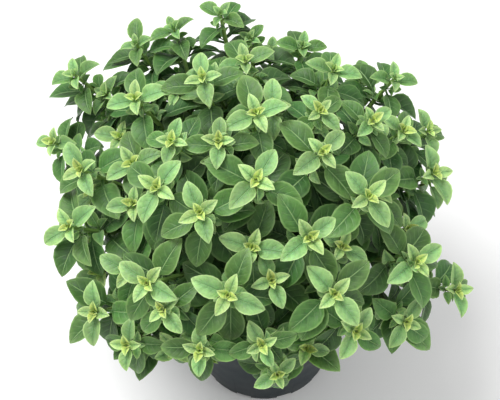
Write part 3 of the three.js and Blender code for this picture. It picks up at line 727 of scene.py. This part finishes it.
def blade_shape(blade):
    """A leaf's rib, width, fold and stalk, in metres, from the sections that the frame has."""
    sections = blade["sections"]
    points = [sum((v.co for v in blade["foot"]), Vector()) / 4]
    halves, lifts = [], []
    _, widest = sections[-1]
    across = (widest[1].co - widest[0].co).normalized()
    for ribs, sides in sections:
        middle = (ribs[0].co + ribs[1].co) / 2
        chord = (sides[0].co + sides[1].co) / 2
        points.append(middle)
        halves.append((sides[1].co - sides[0].co).length / 2)
        lifts.append(chord - middle)
    points.append(blade["tip"].co.copy())
    knots = [0.0]
    for before, after in zip(points, points[1:]):
        knots.append(knots[-1] + (after - before).length)
    length = knots[-1]
    if len(sections) == 2:
        blade_length = (length - knots[2]) / (1 - TIP_SECTION)
        shares = [TIP_SECTION - (knots[2] - knots[1]) / blade_length, TIP_SECTION]
    else:
        blade_length = (length - knots[1]) / (1 - SINGLE_SECTION)
        shares = [SINGLE_SECTION]
    swells = [math.sin(math.pi * share ** WIDTH_SKEW) ** WIDTH_POWER for share in shares]
    half = sum(h / swell for h, swell in zip(halves, swells)) / len(halves)
    rise = max(lifts, key=lambda lift: lift.length)
    return {
        "knots": knots, "points": points, "across": across, "up": rise.normalized(),
        "stalk": length - blade_length, "blade": blade_length, "half": half,
        "fold": rise.length / max(halves), "is_first": len(sections) == 1,
    }


def directed_face(start, end):
    """The face whose edge runs from one vertex to the other."""
    for face in start.link_faces:
        for loop in face.loops:
            if loop.vert is start and loop.link_loop_next.vert is end:
                return face
    return None


def is_side_edge(start, end, foot):
    """Whether a stem's side, which isn't its foot, stands over an edge in this direction."""
    face = directed_face(start, end)
    return face is not None and any(v not in foot for v in face.verts)


def stem_rings(ring, blade_vertices):
    """Climbs a stem from one section to its tip: its sections, the openings of its branches, its tip."""
    rings, openings = [ring], []
    while True:
        ahead = {}
        for side in range(4):
            start = ring[side]
            face = directed_face(start, ring[(side + 1) % 4])
            right = next(v for v in face.verts if v not in ring)
            if right not in blade_vertices:
                beside = directed_face(start, right)
                left = next(v for v in beside.verts if v not in (start, right))
                ahead[side] = (left, right)
        rights = {right for _, right in ahead.values()}
        if len(rights) == 1:
            return rings, openings, rights.pop()
        forks = [
            side for side, (left, right) in ahead.items() if len(ahead) == 4
            and left is not ahead[(side - 1) % 4][1] and right is not ahead[(side + 1) % 4][0]
        ]
        upper = [None] * 4
        for side, (left, right) in ahead.items():
            if side not in forks:
                upper[side], upper[(side + 1) % 4] = left, right
        for side in forks:
            after = (side + 1) % 4
            openings.append([ring[side], ring[after], upper[after], upper[side]])
        ring = upper
        rings.append(ring)


def ring_frame(ring):
    """A section's centre, the way that its first side faces, and half its width."""
    centre = sum((v.co for v in ring), Vector()) / 4
    facing = (ring[0].co + ring[1].co) / 2 - centre
    return centre, facing.normalized(), facing.length


def shoot_line(rings, apex):
    """A shoot's sections from its tip down."""
    frames = [ring_frame(ring) for ring in reversed(rings)]
    line = []
    distance = 0
    for i, (centre, facing, half) in enumerate(frames):
        above = frames[i - 1][0] if i else apex.co
        below = frames[i + 1][0] if i + 1 < len(frames) else centre - (above - centre)
        if i:
            distance += (frames[i - 1][0] - centre).length
        line.append(Section(distance, centre.copy(), (above - below).normalized(), facing, half))
    return line


def read_line(line, distance):
    """A shoot's section at a distance below its tip, or None."""
    for lower, upper in zip(line[1:], line):
        if upper.distance <= distance <= lower.distance:
            share = (distance - upper.distance) / (lower.distance - upper.distance)
            axis = upper.axis.lerp(lower.axis, share).normalized()
            facing = square_to(upper.facing.lerp(lower.facing, share), axis)
            half = upper.half + (lower.half - upper.half) * share
            return Section(distance, upper.centre.lerp(lower.centre, share), axis, facing, half)
    return None


def read_stem(node):
    """The blades and the shoots of one leafy stem of the frame, and what its blades stand on."""
    mesh = merged_mesh(node)
    blades = [blade for blade in map(read_blade, mesh.verts) if blade]
    blade_vertices = set().union(*(blade["used"] for blade in blades))
    foot = sorted((v for v in mesh.verts if v not in blade_vertices), key=lambda v: v.co.z)[:4]
    ring = [foot[0]]
    while len(ring) < 4:
        here = ring[-1]
        ring.append(next(
            v for v in neighbours(here)
            if v in foot and v not in ring and is_side_edge(here, v, foot)
        ))
    rings, openings, apex = stem_rings(ring, blade_vertices)
    lines = [shoot_line(rings, apex)]
    for quad in openings:
        branch, _, branch_apex = stem_rings(quad, blade_vertices)
        lines.append(shoot_line(branch, branch_apex))
    leaves = [blade_shape(blade) for blade in blades]
    blade_points = {place_key(v.co) for v in blade_vertices}
    feet = [{place_key(v.co) for v in blade["foot"]} for blade in blades]
    mesh.free()
    return leaves, lines, blade_points, feet


# Leaves, copied from the pattern and bent along a rib


def leaf_points(leaf):
    """Where the pattern's vertices go on one leaf."""
    x, y, z = PATTERN.T
    run = np.where(y < 0, leaf["stalk"] * (1 + y), leaf["stalk"] + leaf["blade"] * y)
    run = np.where(near(y, -1), -ROOT_SINK * MM, run)
    step = SLOPE_STEP * MM
    middle = lagrange(leaf["knots"], leaf["points"], run)
    ahead = lagrange(leaf["knots"], leaf["points"], run + step)
    tangent = ahead - lagrange(leaf["knots"], leaf["points"], run - step)
    tangent /= np.linalg.norm(tangent, axis=1)[:, None]
    across = np.array(leaf["across"])
    chord = np.array(leaf["points"][-1] - leaf["points"][0])
    across = across * np.sign(np.cross(across, chord) @ np.array(leaf["up"]))
    up = np.cross(across, tangent)
    up /= np.linalg.norm(up, axis=1)[:, None]
    roll = (leaf["roll"] * np.clip(y, 0, 1))[:, None]
    sideways = across * np.cos(roll) + up * np.sin(roll)
    raised = up * np.cos(roll) - across * np.sin(roll)
    wave = leaf["wave"] * x**2 * np.sin(2 * math.pi * (WAVES * y + leaf["phase"]))
    lift = np.abs(x) * leaf["fold"] * leaf["fold_more"] + z + wave
    droop = leaf["droop"] * leaf["blade"] * (np.clip(y - TIP_FROM, 0, 1) / (1 - TIP_FROM)) ** 2
    middle = middle - raised * droop[:, None]
    return middle + leaf["half"] * (x[:, None] * sideways + lift[:, None] * raised)


def with_character(leaf, age):
    """Gives a leaf its age, into which painted shade is put low on the crown and at its back, and its own
    small differences.
    """
    # Painted shade: low on the crown and at the back the leaf is aged, so its colour darkens as if in shade
    shade = clamped((SHADE_FROM - leaf["points"][0].z / MM) / SHADE_RUN)
    away = clamped((leaf["points"][0].y / MM - BACK_SHADE_FROM) / BACK_SHADE_RUN)
    leaf["age"] = age + max(SHADE_AGE * shade, BACK_SHADE_AGE * away) * (1 - age)
    leaf["fold_more"] = FOLD_MORE if age > FOLD_FROM_AGE else 1
    leaf["tint"] = draws.uniform(-1, 1)
    leaf["roll"] = draws.uniform(-1, 1) * ROLL
    leaf["wave"] = draws.uniform(0, 1) * WAVE
    leaf["phase"] = draws.random()
    leaf["droop"] = draws.uniform(0, TIP_DROOP)
    return leaf


def new_leaf(root, axis, out, lean, bend, stalk, blade, width, fold, age, to_sky=0):
    """A leaf that grows from a stem, with its lean from the stem, its bend and its fold in degrees.
    Its blade is turned about its rib, as far as to_sky says, until its upper face looks up."""
    start, length = math.radians(lean), (stalk + blade) * MM
    curl = math.radians(bend) / length
    knots = [length * share for share in KNOT_SHARES]
    points = []
    for run in knots:
        angle = start + curl * run
        points.append(
            root + axis * ((math.sin(angle) - math.sin(start)) / curl)
            + out * ((math.cos(start) - math.cos(angle)) / curl)
        )
    middle = start + curl * length / 2
    chord = (points[-1] - points[0]).normalized()
    natural = axis * math.sin(middle) - out * math.cos(middle)
    up = (natural * (1 - to_sky) + square_to(UP, chord) * to_sky).normalized()
    leaf = {
        "knots": knots, "points": points, "across": chord.cross(up).normalized(), "up": up,
        "stalk": stalk * MM, "blade": blade * MM, "half": width / 2 * MM,
        "fold": math.tan(math.radians(fold)),
    }
    return with_character(leaf, age)


def in_view(points):
    """Where the photograph has these points, in pixels across and down."""
    away = points / MM - np.array(VIEW_AIM)
    depth = VIEW_DISTANCE + away[:, 1] * math.cos(VIEW_ELEVATION) - away[:, 2] * math.sin(VIEW_ELEVATION)
    rise = away[:, 1] * math.sin(VIEW_ELEVATION) + away[:, 2] * math.cos(VIEW_ELEVATION)
    return PHOTO_WIDTH / 2 + VIEW_FOCAL * away[:, 0] / depth, PHOTO_HEIGHT / 2 - VIEW_FOCAL * rise / depth


def is_inside(points):
    """Whether a leaf stays in the frame's box, and leaves the pot in view."""
    low, high = points.min(axis=0), points.max(axis=0)
    across, down = in_view(points)
    hides = any(((across > left) & (across < right) & (down > top)).any() for left, right, top in CLEAR_VIEW)
    return (low > np.array(cad_box[0])).all() and (high < np.array(cad_box[1])).all() and not hides


def ball(points):
    """The centre and the radius of a ball round some points."""
    low, high = points.min(axis=0), points.max(axis=0)
    return (low + high) / 2, np.linalg.norm(high - low) / 2


class Crown:
    """All that is already in its place, so that a new leaf can keep clear of it."""

    def __init__(self):
        self.centres = np.zeros((0, 3))
        self.radii = np.zeros(0)
        self.trees = []

    def add(self, points, faces):
        centre, radius = ball(points)
        self.centres = np.vstack([self.centres, centre])
        self.radii = np.append(self.radii, radius)
        self.trees.append(BVHTree.FromPolygons(points.tolist(), faces))

    def is_clear(self, points):
        centre, radius = ball(points)
        gaps = np.linalg.norm(self.centres - centre, axis=1) - self.radii
        tree = BVHTree.FromPolygons(points.tolist(), BLADE_FACES)
        return not any(tree.overlap(self.trees[i]) for i in np.nonzero(gaps < radius)[0])

    def takes(self, leaf, is_bound=False):
        """Takes a leaf in if its blade is clear and, where it is bound, stays inside."""
        points = leaf_points(leaf)
        if is_bound and not is_inside(points) or not self.is_clear(points):
            return False
        self.add(points, BLADE_FACES)
        return True


def nearest_on(lines, point):
    """The shoot that a point is closest to, and its distance below the tip."""
    best = None
    for index, line in enumerate(lines):
        for upper, lower in zip(line, line[1:]):
            span = lower.centre - upper.centre
            share = clamped((point - upper.centre).dot(span) / span.length_squared)
            gap = (upper.centre + span * share - point).length
            if best is None or gap < best[0]:
                best = (gap, index, upper.distance + (lower.distance - upper.distance) * share)
    return best[1], best[2]


def centre_leaves(line, out):
    """The tiny folded pairs that close a shoot."""
    _, centre, axis, _, half = line[0]
    leaves = []
    for length, width, lean, fold, quarter in CENTRE_PAIRS:
        for side in (0, 180):
            way = turned(square_to(out, axis), axis, 90 * quarter + side)
            root = centre + axis * (CENTRE_RISE * MM) + way * half * CENTRE_OUT
            size = draws.uniform(*CENTRE_SIZE)
            leaves.append(new_leaf(
                root, axis, way, lean + draws.uniform(*CENTRE_LEAN_SPREAD), CENTRE_BEND, CENTRE_STALK,
                length * size, width * size, fold, AGE_CENTRE,
            ))
    return leaves


def tuft_leaves(leaf, axis, crown):
    """The small leaves in the angle between a leaf and its stem."""
    chance, length = TUFTS[leaf["rank"]]
    if draws.random() > chance:
        return []
    root = leaf["points"][0] + axis * (TUFT_RISE * MM)
    out = square_to(leaf["points"][1] - leaf["points"][0], axis)
    stem = (axis * TUFT_UP + out * TUFT_OUT).normalized()
    length *= draws.uniform(*TUFT_SIZE)
    leaves = []
    for turn, share in TUFT_LEAVES:
        way = turned(square_to(out, stem), stem, turn + draws.uniform(*TUFT_TURN_SPREAD))
        blade = length * share
        for lean in TUFT_LEANS:
            one = new_leaf(
                root + stem * TUFT_STEM * MM, stem, way, lean + draws.uniform(*TUFT_LEAN_SPREAD), TUFT_BEND,
                length * TUFT_STALK, blade, blade * TUFT_WIDTH, TUFT_FOLD, draws.uniform(*TUFT_AGE),
            )
            if crown.takes(one):
                leaves.append(one)
                break
    return leaves


def lone_leaf(line, distance, tip, crown):
    """A large leaf whose tip hangs at a given place."""
    _, centre, axis, _, half = read_line(line, distance * MM)
    span = Vector(tip) * MM - centre
    out = square_to(span, axis)
    length = (span.length - half) / MM
    lean = math.degrees(span.angle(axis)) - LONE_BEND / 2
    blade = length * (1 - LONE_STALK)
    for turn, more in LONE_TRIES:
        way = turned(out, axis, turn)
        one = new_leaf(
            centre + way * half, axis, way, lean + more, LONE_BEND, length * LONE_STALK, blade,
            blade * LONE_WIDTH, draws.uniform(*LONE_FOLD), draws.uniform(*LONE_AGE), LONE_TO_SKY,
        )
        if crown.takes(one):
            return [one]
    return []


def skirt_leaves(line, crown):
    """Leaves that hang outwards and down, where there is room, and close the side of the crown."""
    leaves = []
    tip = line[0].centre
    from_axis = math.hypot(tip.x / MM - CROWN_AXIS[0], tip.y / MM - CROWN_AXIS[1])
    for stop in SKIRT_STOPS:
        found = read_line(line, stop * MM)
        if found is None:
            break
        _, centre, axis, _, half = found
        if stop == SKIRT_STOPS[0] and from_axis < SKIRT_RIM:
            continue
        outward = Vector((centre.x - CROWN_AXIS[0] * MM, centre.y - CROWN_AXIS[1] * MM, 0)).normalized()
        out = square_to(outward - UP * SKIRT_DIP, axis)
        placed = 0
        for scale, turn in product(SKIRT_SCALES, SKIRT_TURNS):
            way = turned(out, axis, turn + draws.uniform(*SKIRT_TURN_SPREAD))
            blade = SKIRT_BLADE * scale * draws.uniform(*SKIRT_SIZE)
            one = new_leaf(
                centre + way * half, axis, way, draws.uniform(*SKIRT_LEAN), draws.uniform(*SKIRT_BEND),
                SKIRT_STALK * scale, blade, blade * SKIRT_WIDTH / SKIRT_BLADE, draws.uniform(*SKIRT_FOLD),
                draws.uniform(*SKIRT_AGE), SKIRT_TO_SKY,
            )
            if crown.takes(one, is_bound=True):
                leaves.append(one)
                placed += 1
            if placed == SKIRT_COUNT:
                break
    return leaves


def old_leaves(line, out, crown):
    """The old pairs that stand on a stem below those of the frame, as far as there is room."""
    leaves = []
    distance, quarter = OLD_FIRST, 1
    while distance * MM < line[-1].distance - OLD_LAST * MM:
        _, centre, axis, _, half = read_line(line, distance * MM)
        for side in (0, 180):
            way = turned(square_to(out, axis), axis, 90 * quarter + side)
            lean, bend = draws.uniform(*OLD_LEAN), draws.uniform(*OLD_BEND)
            blade = OLD_BLADE * draws.uniform(*OLD_SIZE)
            for turn, more, scale in OLD_TRIES:
                aside = turned(way, axis, turn)
                one = new_leaf(
                    centre + aside * half, axis, aside, lean + more, bend, OLD_STALK * scale, blade * scale,
                    OLD_WIDTH / OLD_BLADE * blade * scale, OLD_FOLD, AGE_OLD - draws.uniform(*OLD_AGE_LESS),
                    OLD_TO_SKY,
                )
                if crown.takes(one, is_bound=True):
                    leaves.append(one)
                    break
        distance += OLD_SPACING * draws.uniform(*OLD_SPACING_SPREAD)
        quarter = 1 - quarter
    return leaves


def faces_of(node):
    """A node's points and faces, for what a leaf keeps clear of."""
    points = np.array([v.co for v in node.data.vertices])
    return points, [tuple(face.vertices) for face in node.data.polygons]


def ribbon_of(line):
    """A shoot's points and faces, as a strip through its middle."""
    points = [tuple(at.centre + way * at.half) for at in line for way in (at.facing, -at.facing)]
    return np.array(points), [(i, i + 2, i + 3, i + 1) for i in range(0, len(points) - 2, 2)]


def plan_leaves():
    """All leaves of every stem: those of the frame first, then those that find room between them."""
    crown = Crown()
    plants = {}
    for name, node in sorted(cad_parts.items()):
        if not name.startswith("leafy_stem"):
            crown.add(*faces_of(node))
            continue
        leaves, lines, blade_points, feet = read_stem(node)
        plants[name] = {"leaves": leaves, "lines": lines, "blade_points": blade_points, "feet": feet}
        for leaf in leaves:
            leaf["line"], distance = nearest_on(lines, leaf["points"][0])
            leaf["rank"] = 0 if leaf["is_first"] else 1 + sum(distance > limit * MM for limit in RANK_REACH)
            with_character(leaf, AGE_OF_RANK[leaf["rank"]] + draws.uniform(*AGE_SPREAD))
            crown.add(leaf_points(leaf), BLADE_FACES)
        for line in lines:
            crown.add(*ribbon_of(line))
    for number, shoot, distance, tip in LONE_LEAVES:
        plant = plants[f"leafy_stem_{number:02d}"]
        plant["leaves"] += lone_leaf(plant["lines"][shoot], distance, tip, crown)
    for plant in plants.values():
        plant["ways"] = []
        for index, line in enumerate(plant["lines"]):
            own = [leaf for leaf in plant["leaves"] if leaf.get("line") == index]
            ways = {leaf["rank"]: leaf["points"][1] - leaf["points"][0] for leaf in own}
            plant["ways"].append(ways)
            if 0 in ways:
                plant["leaves"] += centre_leaves(line, ways[0])
        for leaf in list(plant["leaves"]):
            if leaf.get("rank", 0) > 0:
                line = plant["lines"][leaf["line"]]
                _, distance = nearest_on([line], leaf["points"][0])
                plant["leaves"] += tuft_leaves(leaf, read_line(line, distance).axis, crown)
    last_rank = len(AGE_OF_RANK) - 1
    for plant in plants.values():
        for line, ways in zip(plant["lines"], plant["ways"]):
            plant["leaves"] += skirt_leaves(line, crown)
            plant["leaves"] += old_leaves(line, ways.get(last_rank) or line[-1].facing, crown)
    return plants


def make_leaf(leaf):
    """A copy of the pattern, with its own mesh, in one leaf's place."""
    copy = leaf_pattern.copy()
    copy.data = leaf_pattern.data.copy()
    copy.data.vertices.foreach_set("co", leaf_points(leaf).ravel())
    for name, value in (("leaf_age_and_shade", leaf["age"]), ("leaf_tint", leaf["tint"])):
        copy.data.attributes[name].data.foreach_set("value", [value] * len(PATTERN))
    bpy.context.collection.objects.link(copy)
    return copy


def copy_node(node, material):
    """A free copy of a node of the frame, in one material, left in edit mode with its corners merged."""
    copy = node.copy()
    copy.data = node.data.copy()
    copy.parent = None
    copy.matrix_world = Matrix.Identity(4)
    bpy.context.collection.objects.link(copy)
    copy.data.materials.clear()
    copy.data.materials.append(material)
    start_editing(copy)
    bpy.ops.mesh.remove_doubles(threshold=NODE_MERGE * MM)
    return copy


def make_stem(node, blade_points, feet):
    """A copy of the frame's stem without its blades, closed where they stood, and rounded."""
    stem = copy_node(node, STEM)
    select_where(stem, lambda co: place_key(co) in blade_points)
    bpy.ops.mesh.delete(type="VERT")
    for foot in feet:
        select_where(stem, lambda co, corners=foot: place_key(co) in corners)
        bpy.ops.mesh.edge_face_add()
    bpy.ops.mesh.select_all(action="SELECT")
    bpy.ops.mesh.normals_make_consistent(inside=False)
    bpy.ops.mesh.tris_convert_to_quads(face_threshold=FLAT_ANGLE, shape_threshold=math.pi)
    mesh = bmesh.from_edit_mesh(stem.data)
    crease = mesh.edges.layers.float.new("crease_edge")
    for edge in mesh.edges:
        if edge.calc_face_angle(0) > SHARP_ANGLE:
            edge[crease] = STEM_CREASE
    bmesh.update_edit_mesh(stem.data)
    bpy.ops.object.mode_set(mode="OBJECT")
    apply_modifier(stem, "SUBSURF", levels=STEM_LEVELS, render_levels=STEM_LEVELS)
    bpy.ops.object.shade_smooth()
    return stem


def make_plants():
    plants = plan_leaves()
    for name, plant in plants.items():
        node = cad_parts[name]
        stem = make_stem(node, plant["blade_points"], plant["feet"])
        leaves = [make_leaf(leaf) for leaf in plant["leaves"]]
        activate(stem)
        for leaf in leaves:
            leaf.select_set(True)
        bpy.ops.object.join()
        stem.name = name.replace("leafy_stem", "basil_shoots")
        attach(stem, "root")
        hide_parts(name)


# The pot


def wall_radius(z):
    return BASE_RADIUS + (RIM_RADIUS - LIP_STEP - BASE_RADIUS) * z / POT_HEIGHT


def rounded(radius, height, offsets):
    """The points of a rounded edge of the pot's outline, where the sharp one would be."""
    return [(radius + out, height + up) for out, up in offsets]


def on_circle(radius, index, count):
    """An even place on a circle round the pot's axis, in metres, and its angle."""
    angle = 2 * math.pi * index / count
    return (radius * MM * math.cos(angle), radius * MM * math.sin(angle), 0), angle


def cut_away(obj, tool):
    """Cuts a tool's shape out of a piece, and puts the tool away."""
    activate(obj)
    apply_modifier(obj, "BOOLEAN", object=tool, operation="DIFFERENCE", solver="EXACT")
    bpy.data.objects.remove(tool)


def make_pot():
    lip_foot = POT_HEIGHT - LIP_HEIGHT
    floor = FOOT_HEIGHT + WALL
    ring = CENTRE_PAD_RADIUS + STEP_RUN
    foot = BASE_RADIUS - FOOT_WIDTH
    profile = [
        (0, 0), (CENTRE_PAD_RADIUS, 0), (ring, FOOT_HEIGHT), (foot - STEP_RUN, FOOT_HEIGHT), (foot, 0),
        *rounded(BASE_RADIUS, 0, BASE_EDGE),
        (wall_radius(lip_foot - LIP_HOLLOW), lip_foot - LIP_HOLLOW),
        (wall_radius(lip_foot) + LIP_HOLLOW / 2, lip_foot),
        *rounded(wall_radius(lip_foot) + LIP_STEP, lip_foot, LIP_EDGE),
        *rounded(RIM_RADIUS, POT_HEIGHT, RIM_EDGE),
        *rounded(wall_radius(POT_HEIGHT) - WALL, POT_HEIGHT, INNER_EDGE),
        (wall_radius(floor) - WALL, floor), (ring, floor), (CENTRE_PAD_RADIUS, WALL), (0, WALL),
    ]
    # One corner of a plane is drawn out along the profile, and the profile is spun
    deselect()
    bpy.ops.mesh.primitive_plane_add(size=2 * MM, location=(0, 0, 0))
    pot = bpy.context.object
    pot.name = "plant_pot"
    start_editing(pot)
    bpy.ops.mesh.merge(type="CENTER")
    for start, end in zip(profile, profile[1:]):
        step = ((end[0] - start[0]) * MM, 0, (end[1] - start[1]) * MM)
        bpy.ops.mesh.extrude_region_move(TRANSFORM_OT_translate={"value": step})
    bpy.ops.mesh.select_all(action="SELECT")
    bpy.ops.mesh.spin(steps=POT_STEPS, angle=2 * math.pi, center=(0, 0, 0), axis=(0, 0, 1))
    bpy.ops.mesh.select_all(action="SELECT")
    bpy.ops.mesh.remove_doubles(threshold=SPIN_MERGE * MM)
    bpy.ops.mesh.normals_make_consistent(inside=False)
    bpy.ops.object.mode_set(mode="OBJECT")

    # The drain holes are drilled, and the notches of the foot are cut with a block
    for index in range(DRAIN_COUNT):
        place, _ = on_circle(DRAIN_CIRCLE, index, DRAIN_COUNT)
        deselect()
        bpy.ops.mesh.primitive_cylinder_add(
            vertices=DRAIN_SIDES, radius=DRAIN_RADIUS * MM, depth=DRILL_LENGTH * MM, location=place,
        )
        cut_away(pot, bpy.context.object)
    for index in range(NOTCH_COUNT):
        place, angle = on_circle(BASE_RADIUS, index, NOTCH_COUNT)
        deselect()
        bpy.ops.mesh.primitive_cube_add(
            size=1, location=place, rotation=(0, 0, angle),
            scale=(NOTCH_REACH * MM, NOTCH_WIDTH * MM, 2 * NOTCH_HEIGHT * MM),
        )
        cut_away(pot, bpy.context.object)
    activate(pot)
    apply_modifier(
        pot, "BEVEL", width=CUT_EDGE * MM, segments=2, limit_method="ANGLE", angle_limit=SHARP_ANGLE,
    )
    bpy.ops.object.shade_smooth_by_angle(angle=FLAT_ANGLE)
    pot.data.materials.append(POT)
    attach(pot, "root")
    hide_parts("pot")


# The compost


def make_compost():
    soil = copy_node(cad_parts["soil"], COMPOST)
    soil.name = "peat_compost"
    select_where(soil, lambda co: co.z > (GROUND - CRUMB_DEPTH) * MM)
    bpy.ops.mesh.subdivide(
        number_cuts=CRUMB_CUTS, fractal=CRUMB_ROUGHNESS, fractal_along_normal=CRUMB_UPRIGHT, seed=CRUMB_SEED,
    )
    bpy.ops.object.mode_set(mode="OBJECT")
    bpy.ops.object.shade_smooth_by_angle(angle=SHARP_ANGLE)
    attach(soil, "root")
    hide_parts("soil")


# What the plant stands on, its light and its camera


def paper_material():
    # Pale backdrop paper: matt, with a faint cloud in its white
    material, shader, add, place = new_material("Pale_paper", Roughness=0.9)
    grain = add("TexNoise", {"Vector": place, "Scale": 30})
    tone = remap(grain, 0, 1, 0.93, 0.96)
    set_inputs(shader, {"Base Color": tone})
    return material


def make_studio():
    deselect()
    bpy.ops.mesh.primitive_plane_add(size=FLOOR_SIZE, location=(0, 0, 0))
    floor = bpy.context.object
    floor.name = "studio_floor"
    floor.data.materials.append(paper_material())

    world = bpy.data.worlds.new("soft_daylight")
    world.use_nodes = True
    sky = world.node_tree.nodes["Background"]
    sky.inputs["Color"].default_value = (1, 1, 1, 1)
    sky.inputs["Strength"].default_value = SKY_STRENGTH
    bpy.context.scene.world = world
    for place, size, power in LAMPS:
        bpy.ops.object.light_add(type="AREA", location=place)
        lamp = bpy.context.object
        lamp.data.shape = "DISK"
        lamp.data.size = size
        lamp.data.energy = power
        lamp.rotation_euler = (LAMP_AIM - lamp.location).to_track_quat("-Z", "Y").to_euler()


def make_camera():
    back = Vector((0, -math.cos(VIEW_ELEVATION), math.sin(VIEW_ELEVATION)))
    bpy.ops.object.camera_add(location=(VIEW_AIM + back * VIEW_DISTANCE) * MM)
    camera = bpy.context.object
    camera.rotation_euler = (-back).to_track_quat("-Z", "Y").to_euler()
    camera.data.sensor_width = SENSOR_WIDTH
    camera.data.lens = VIEW_FOCAL * SENSOR_WIDTH / PHOTO_WIDTH
    camera.data.clip_start = CLIP_START * MM
    bpy.context.scene.camera = camera


make_studio()
make_camera()
make_pot()
make_compost()
make_plants()
bpy.data.objects.remove(leaf_pattern)
bpy.context.scene.view_settings.view_transform = "Standard"
